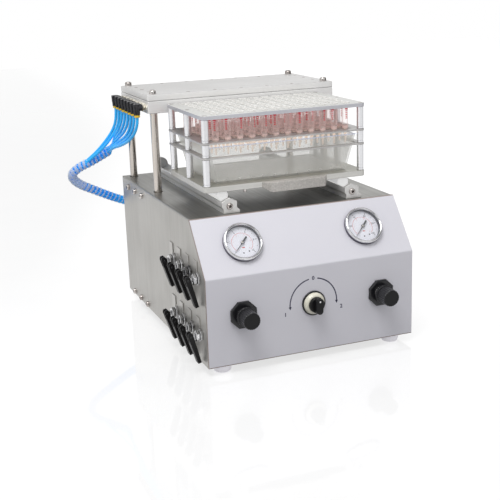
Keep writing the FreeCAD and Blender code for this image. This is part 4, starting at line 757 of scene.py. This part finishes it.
columnParts = {"pitch": 15.3, "middle": -35.75, "barrel": 3.9, "seed": 7, "bed": (3.72, 258.0, 259.4, 1.6),
               "frit": (3.74, 257.3, 0.8), "turned": (-150, 40), "marksTop": 284.5,
               "marks": [(1.7, 26, 2.6)] * 2 + [(1.1, 18, 2.2)] * 5,
               "flangeShape": [(3.4, 284.5), (3.4, 288.9), (3.6, 289.1), (5.2, 289.1), (5.4, 288.9), (5.4, 288.3),
                               (5.2, 288.1)],
               "barrelShape": [(3.9, 288.0), (3.8, 257.4), (3.4, 257.0), (1.9, 257.0)],
               "tipShape": [(0, 257.1), (2.1, 257.1), (2.1, 257.0), (1.75, 256.4), (1.6, 247.5), (1.3, 246.9),
                            (1.05, 240.2), (0.9, 239.9), (0, 239.9)]}


def makeColumns(facts):
    chance = random.Random(facts["seed"])
    barrels, flanges, beds, frits, tips, marks = (bmesh.new() for _ in range(6))
    for row in range(8):
        for column in range(12):
            x = (column - 5.5) * facts["pitch"]
            y = facts["middle"] + (row - 3.5) * facts["pitch"]
            place = seat(x, y, 0)
            turnProfile(flanges, place, facts["flangeShape"], 24)
            turnProfile(barrels, place, facts["barrelShape"], 20)
            reach, low, level, spread = facts["bed"]
            fill = level + chance.random() * spread
            turnProfile(beds, place, [(0, low), (reach, low), (reach, fill), (0, fill)], 16)
            reach, low, thick = facts["frit"]
            for low in (low, fill):
                turnProfile(frits, place, [(0, low), (reach, low), (reach, low + thick), (0, low + thick)], 16)
            turnProfile(tips, place, facts["tipShape"], 16)
            # a stack of graduations, broader at the top, turned as each column happens to stand
            facing = chance.uniform(*facts["turned"])
            level = facts["marksTop"]
            for depth, half, drop in facts["marks"]:
                last = None
                for k in range(4):
                    angle = math.radians(facing - half + 2 * half * k / 3)
                    wide = Vector((math.cos(angle), math.sin(angle), 0)) * (facts["barrel"] + 0.04)
                    pair = [marks.verts.new(place @ (wide + up * height)) for height in (level, level - depth)]
                    if last:
                        marks.faces.new((last[0], last[1], pair[1], pair[0]))
                    last = pair
                level -= drop
    makePiece("barrels", barrels, "columns", "barrelClear", ("extraction_columns",))
    makePiece("flanges", flanges, "columns", "flangeClear")
    makePiece("packedBeds", beds, "columns", "bedPink")
    makePiece("frits", frits, "columns", "fritPale")
    makePiece("tips", tips, "columns", "tipBeige")
    makePiece("graduations", marks, "columns", "markRed")


makeRack(rackParts)
makeColumns(columnParts)
print("rack and 96 columns dressed")

# Gauges on the slope
gaugeParts = {"x": 77.4, "y": -145.53, "z": 146.14, "normal": (0, -0.7815, 0.6239), "top": (0, 0.6239, 0.7815),
              "start": 225.0, "sweep": 270.0, "low": ("0", "2", "4", "6", "8", "10"),
              "high": ("0", "20", "40", "60", "80", "100"), "inner": ("0", "1", "3", "5", "7", "9"),
              "print": 0.86, "ticks": ((16.4, 0.5), (17.4, 0.3)), "tickEnd": 18.6, "dots": (-96, -62),
              "badge": (5.2, 6.4, 3.4, -90), "pointerLevels": (2.4, 2.9), "tailLevels": (2.4, 3.0),
              "numberRing": (14.7, 3.4), "innerRing": (10.4, 2.2), "redRing": 12.6, "rest": 135,
              "wall": [(19.9, -20), (20.0, 0.1), (23.3, 0.1), (23.5, 0.6), (23.5, 4.4)],
              "bezel": [(23.5, 4.4), (23.5, 4.8), (23.2, 6.0), (22.5, 6.8), (21.7, 7.0), (21.0, 6.6), (20.7, 5.9),
                        (20.6, 5.5)],
              "lining": [(20.6, 5.5), (20.4, 5.3), (20.3, 0.8), (20.3, 0.2)],
              "dial": [(20.3, 0.2), (20.3, 0.8), (0, 0.8)], "dot": [(0.9, 0.84), (0.85, 0.9), (0, 0.9)],
              "glass": [(0, 5.5), (20.4, 5.5), (20.4, 4.0), (0, 4.0)],
              "pointer": [(-0.55, 0), (-0.25, 14), (0.25, 14), (0.55, 0)],
              "tail": [(-0.55, 0), (0.55, 0), (1.05, -3.2), (1.05, -9), (-1.05, -9), (-1.05, -3.2)],
              "boss": [(0.8, 0.6), (0.8, 2.4), (2.1, 2.4), (2.1, 3.1), (0, 3.1)],
              "hub": [(1.5, 3.05), (1.5, 3.4), (1.1, 3.6), (0, 3.6)]}


def makeGauges(facts):
    bezels, walls, linings, dials, black, red, glass = (bmesh.new() for _ in range(7))
    for hand, scale in ((-1, "low"), (1, "high")):
        place = seat(hand * facts["x"], facts["y"], facts["z"], facts["normal"], facts["top"])
        turnProfile(walls, place, facts["wall"], 72)
        turnProfile(bezels, place, facts["bezel"], 72)
        turnProfile(linings, place, facts["lining"], 72)
        turnProfile(dials, place, facts["dial"], 64)
        begin, sweep, level = facts["start"], facts["sweep"], facts["print"]
        for i in range(11):
            inner, wide = facts["ticks"][i % 2]
            addTick(black, place, inner, facts["tickEnd"], wide, begin - sweep * i / 10, level)
        addBand(red, place, facts["redRing"], 0.4, begin - sweep, begin, level, 60)
        for i in range(6):
            angle = math.radians(begin - sweep * i / 5)
            for words, (reach, size), mesh in ((facts[scale][i], facts["numberRing"], black),
                                               (facts["inner"][i], facts["innerRing"], red)):
                spot = Matrix.Translation((reach * math.cos(angle), reach * math.sin(angle), level))
                addNumber(mesh, place @ spot, words, size)
        for angle in (math.radians(degrees) for degrees in facts["dots"]):
            spot = Matrix.Translation((facts["redRing"] * math.cos(angle), facts["redRing"] * math.sin(angle), 0))
            turnProfile(black, place @ spot, facts["dot"], 12)
        addTick(red, place, *facts["badge"], level)
        turnProfile(glass, place, facts["glass"], 64)
        needle, hub = bmesh.new(), bmesh.new()
        pointer = place @ Matrix.Rotation(math.radians(facts["rest"]), 4, "Z")
        addPrism(needle, pointer, facts["pointer"], *facts["pointerLevels"])
        addPrism(needle, pointer, facts["tail"], *facts["tailLevels"])
        turnProfile(needle, place, facts["boss"], 24)
        turnProfile(hub, place, facts["hub"], 24)
        makePiece(scale + "Needle", needle, scale + "_needle", "needleBlack", (scale + "_gauge_needle",))
        makePiece(scale + "Hub", hub, scale + "_needle", "screwSteel")
    makePiece("bezels", bezels, "case", "chrome", ("gauge_cases",))
    makePiece("bezelWalls", walls, "case", "bezelWallShade", ("gauge_cases",))
    makePiece("gaugeLinings", linings, "case", "gaugeInsideShade")
    makePiece("dials", dials, "case", "dialWhite", ("gauge_dials",))
    makePiece("dialPrint", black, "case", "dialBlack")
    makePiece("dialPrintRed", red, "case", "dialRed")
    makePiece("gaugeGlass", glass, "case", "windowGlass", ("gauge_windows",))


# Controls on the upright panel
controlParts = {"level": 69.7, "regulatorX": 88.4, "front": -170.0, "film": 0.35,
                "knob": [(0, 8.4), (11.0, 8.4), (11.6, 8.9), (11.6, 11.2), (11.2, 11.6), (10.2, 11.8), (10.2, 27.6),
                         (9.6, 28.4)],
                "nut": [(16.4, 0.1), (17.0, 0.6), (17.0, 3.6), (16.0, 4.5), (9.0, 4.5)],
                "neck": [(9.0, 4.4), (9.0, 7.6), (8.4, 8.0), (3.1, 8.0)],
                "knobFace": [(9.62, 28.35), (9.3, 28.8), (8.6, 28.9), (8.2, 28.55), (0, 28.55)],
                "collar": [(14.9, 0.1), (14.9, 1.9), (14.4, 2.4), (4.1, 2.4)],
                "ring": [(13.2, 2.4), (13.1, 2.9), (11.0, 6.7), (10.5, 7.0), (4.1, 7.0)],
                "disc": [(4.0, -3), (4.0, 7.4), (9.3, 7.4), (9.3, 11.0), (8.8, 11.6), (0, 11.6)],
                "dot": [(1.15, 19.0), (1.1, 19.3), (0, 19.35)], "dotUp": 6.4, "barWide": 4.0, "barHalf": 5.3,
                "numbers": (("0", 0, 30.2), ("1", -36.0, -9.5), ("2", 36.0, -9.5)), "numberSize": (6.4, 0.22),
                "arcRadius": 30.0, "arcWidth": 1.5, "arcGap": 10.3, "arcEnd": 4,
                "arcLift": 0.03, "arrow": ((-1.9, 1.2), (1.9, 1.2), (0, -2.8)), "barLevels": (11.0, 19.2)}


def makeRegulators(facts):
    nuts, necks = bmesh.new(), bmesh.new()
    for hand, name in ((-1, "low"), (1, "high")):
        place = seat(hand * facts["regulatorX"], facts["front"], facts["level"], (0, -1, 0), (0, 0, 1))
        turnProfile(nuts, place, facts["nut"], 8, 22.5)
        turnProfile(necks, place, facts["neck"], 40)
        grip, face = bmesh.new(), bmesh.new()
        turnProfile(grip, place, facts["knob"], 48, 0, 0.4)
        turnProfile(face, place, facts["knobFace"], 40)
        makePiece(name + "Knob", grip, name + "_knob", "knobBlack", (name + "_regulator_knob",), 20)
        makePiece(name + "KnobFace", face, name + "_knob", "faceBlack")
    makePiece("panelNuts", nuts, "case", "nutBlack", ("regulator_nuts",), 20)
    makePiece("regulatorNecks", necks, "case", "nutBlack")


def makeSelector(facts):
    place = seat(0, facts["front"], facts["level"], (0, -1, 0), (0, 0, 1))
    collar, ring, knob, dot, arc = (bmesh.new() for _ in range(5))
    turnProfile(collar, place, facts["collar"], 56)
    turnProfile(ring, place, facts["ring"], 56)
    turnProfile(knob, place, facts["disc"], 48)
    bar = []
    for side, start in ((1, 0), (-1, 180)):
        for angle in (math.radians(start + step) for step in range(0, 181, 20)):
            bar.append((facts["barWide"] * math.cos(angle),
                        side * facts["barHalf"] + facts["barWide"] * math.sin(angle)))
    addPrism(knob, place, bar, *facts["barLevels"], 0.7, 3)
    turnProfile(dot, place @ Matrix.Translation((0, facts["dotUp"], 0)), facts["dot"], 20)
    film, gap, past = facts["film"] + facts["arcLift"], facts["arcGap"], facts["arcEnd"]
    for start, end in ((90 + gap, 180 + past), (-past, 90 - gap)):
        addBand(arc, place, facts["arcRadius"], facts["arcWidth"], start, end, film, 36)
    for angle in (math.radians(180 + past), math.radians(-past)):
        tip = Vector((facts["arcRadius"] * math.cos(angle), facts["arcRadius"] * math.sin(angle), film))
        corners = [(tip.x + u, tip.y + v) for u, v in facts["arrow"]]
        arc.faces.new([arc.verts.new(place @ Vector((u, v, film))) for u, v in corners])
    for words, u, v in facts["numbers"]:
        addNumber(arc, place @ Matrix.Translation((u, v, film)), words, *facts["numberSize"])
    makePiece("selectorCollar", collar, "case", "nutBlack", ("selector_collar",))
    makePiece("selectorRing", ring, "case", "ringCream", ("selector_ring",))
    makePiece("selectorKnob", knob, "selector", "faceBlack", ("selector_knob",), 30)
    makePiece("selectorDot", dot, "selector", "dotWhite")
    makePiece("selectorScale", arc, "case", "darkPrint")


makeGauges(gaugeParts)
makeRegulators(controlParts)
makeSelector(controlParts)
print("gauges and controls dressed")

# Valves on the left side
valveParts = {"rows": (-150.0, -120.0, -90.0, -60.0), "levels": (113.0, 45.5), "face": -132.5,
              "pinX": -146.7, "pinHalf": 4.7,
              "nut": [(5.5, 0.1), (7.2, 0.1), (7.8, 0.5), (7.8, 2.9), (7.1, 3.4), (5.6, 3.4)],
              "ring": [(5.5, 3.3), (6.1, 3.4), (6.1, 4.1), (5.5, 4.2)],
              "capNut": [(5.4, 4.0), (6.3, 4.0), (6.9, 4.5), (6.9, 7.5), (6.2, 8.0), (3.0, 8.0)],
              "stem": ((-2.0, -2.6, 7.9), (2.0, 2.6, 15.6)),
              "pin": [(0, 0), (1.0, 0), (1.3, 0.3), (1.3, 9.1), (1.0, 9.4), (0, 9.4)]}


def makeValves(facts):
    nuts, rings, stems, pins = (bmesh.new() for _ in range(4))
    number = 0
    for level in facts["levels"]:
        for y in facts["rows"]:
            number += 1
            place = seat(facts["face"], y, level, (-1, 0, 0), (0, 0, 1))
            turnProfile(nuts, place, facts["nut"], 6, 30)
            turnProfile(rings, place, facts["ring"], 30)
            turnProfile(nuts, place, facts["capNut"], 6, 30)
            addBlock(stems, place, *facts["stem"], 0.6)
            turnProfile(pins, seat(facts["pinX"], y - facts["pinHalf"], level, (0, 1, 0), (0, 0, 1)), facts["pin"], 20)
            soften(f"lever{number}", f"valve_lever_{number}", f"valve_{number}", "leverBlack", 0.4, 2)
    # valve nuts and stems carry painted glints
    makePiece("valveNuts", nuts, "case", "nutChromeGlints", ("valve_bodies",), 20)
    makePiece("valveRings", rings, "case", "nutBlack")
    makePiece("valveStems", stems, "case", "nutChromeGlints")
    makePiece("valvePins", pins, "case", "nutBlack")
    soften("valveLabels", "valve_label_plates", "case", "labelSteel", 0.35, 2)


makeValves(valveParts)
soften("gasInlet", "gas_inlet", "case", "brass", 0.4)
soften("tubeGrommet", "tube_grommet", "case", "rubberBlack", 0.6, 3)
print("valves and rear fittings dressed")


# Studio: white world that metal and glass see too, pale floor that keeps the shadow
studio = {"skyward": (-0.3, 0.45, 0.75), "soft": (-0.8, 0.7, 0.53, 0.73), "shine": (-0.5, 0.35, 0.66, 1.04),
          "floorHalf": 4.0, "floorLift": 0.63, "floorGrain": (8, 8, 8), "patchScale": 2.2,
          "patches": {"From Min": 0.38, "From Max": 0.62, "To Min": 0.4, "To Max": 1.12},
          "flags": [((0.9, -0.42, -0.1), 0.72, 0.9, 0.22), ((-0.93, 0.3, -0.15), 0.86, 0.97, 0.5)],
          "lamps": {"overheadSoftbox": ((-420, -520, 1300), (0, 0, 150), 0.75, 9.0),
                    "frontFill": ((300, -1300, 700), (0, 0, 120), 1.2, 1.0)}}


def makeWorld(facts):
    world = bpy.data.worlds.new("studioWorld")
    bpy.context.scene.world = world
    world.use_nodes = True
    tree = world.node_tree
    link = tree.links.new
    shader = tree.nodes["Background"]
    shader.inputs["Color"].default_value = (1, 1, 1, 1)
    place = addNode(tree, "ShaderNodeTexCoord")
    rays = addNode(tree, "ShaderNodeLightPath")

    def leaning(direction, start, end, low, high):
        lean = addNode(tree, "ShaderNodeVectorMath", {1: direction}, operation="DOT_PRODUCT")
        link(place.outputs["Generated"], lean.inputs[0])
        level = addNode(tree, "ShaderNodeMapRange",
                        {"From Min": start, "From Max": end, "To Min": low, "To Max": high})
        link(lean.outputs["Value"], level.inputs["Value"])
        return level.outputs[0]

    soft = leaning(facts["skyward"], *facts["soft"])
    shine = leaning(facts["skyward"], *facts["shine"])
    for direction, start, end, shade in facts["flags"]:  # dark flags that give round metal its edges
        shine = joinMath(tree, "MULTIPLY", shine, leaning(direction, start, end, 1.0, shade))
    cloud = addNode(tree, "ShaderNodeTexNoise", {"Scale": facts["patchScale"], "Detail": 1.0})
    link(place.outputs["Generated"], cloud.inputs["Vector"])
    patch = addNode(tree, "ShaderNodeMapRange", facts["patches"])
    link(cloud.outputs[0], patch.inputs["Value"])
    shine = joinMath(tree, "MULTIPLY", shine, patch.outputs[0])
    seen = joinMath(tree, "MAXIMUM", rays.outputs["Is Camera Ray"], rays.outputs["Is Transmission Ray"])
    gleam = addNode(tree, "ShaderNodeMix", data_type="FLOAT")
    link(rays.outputs["Is Glossy Ray"], gleam.inputs[0])
    link(soft, gleam.inputs[2])
    link(shine, gleam.inputs[3])
    white = addNode(tree, "ShaderNodeMix", {3: 1.0}, data_type="FLOAT")
    link(seen, white.inputs[0])
    link(gleam.outputs[0], white.inputs[2])
    link(white.outputs[0], shader.inputs["Strength"])


def makeFloor(facts):
    mesh = bmesh.new()
    bmesh.ops.create_grid(mesh, x_segments=1, y_segments=1, size=facts["floorHalf"])
    data = bpy.data.meshes.new("studioFloor")
    mesh.to_mesh(data)
    mesh.free()
    floor = bpy.data.objects.new("studioFloor", data)
    bpy.context.scene.collection.objects.link(floor)
    material = mix((156, 156, 156), (153, 153, 154), (0.03, 0.06), 0.0, mottled, facts["floorGrain"])
    material.name = "floorWhite"
    tree = material.node_tree
    rays = addNode(tree, "ShaderNodeLightPath")
    lift = addNode(tree, "ShaderNodeMath", {1: facts["floorLift"]}, operation="MULTIPLY")
    shader = tree.nodes["Principled BSDF"]
    shader.inputs["Emission Color"].default_value = (1, 1, 1, 1)
    seen = joinMath(tree, "MAXIMUM", rays.outputs["Is Camera Ray"], rays.outputs["Is Glossy Ray"])
    tree.links.new(seen, lift.inputs[0])
    tree.links.new(lift.outputs[0], shader.inputs["Emission Strength"])
    data.materials.append(material)


def addLamp(name, place, aim, size, power):
    lamp = bpy.data.lights.new(name, "AREA")
    lamp.shape = "DISK"
    lamp.size = size
    lamp.energy = power
    thing = bpy.data.objects.new(name, lamp)
    spot = at(*place)
    thing.matrix_world = Matrix.Translation(spot) @ (spot - at(*aim)).to_track_quat("Z", "Y").to_matrix().to_4x4()
    bpy.context.scene.collection.objects.link(thing)


makeWorld(studio)
makeFloor(studio)
for lampName, lampFacts in studio["lamps"].items():
    addLamp(lampName, *lampFacts)
bpy.context.scene.view_settings.view_transform = "Standard"
print("studio lit")
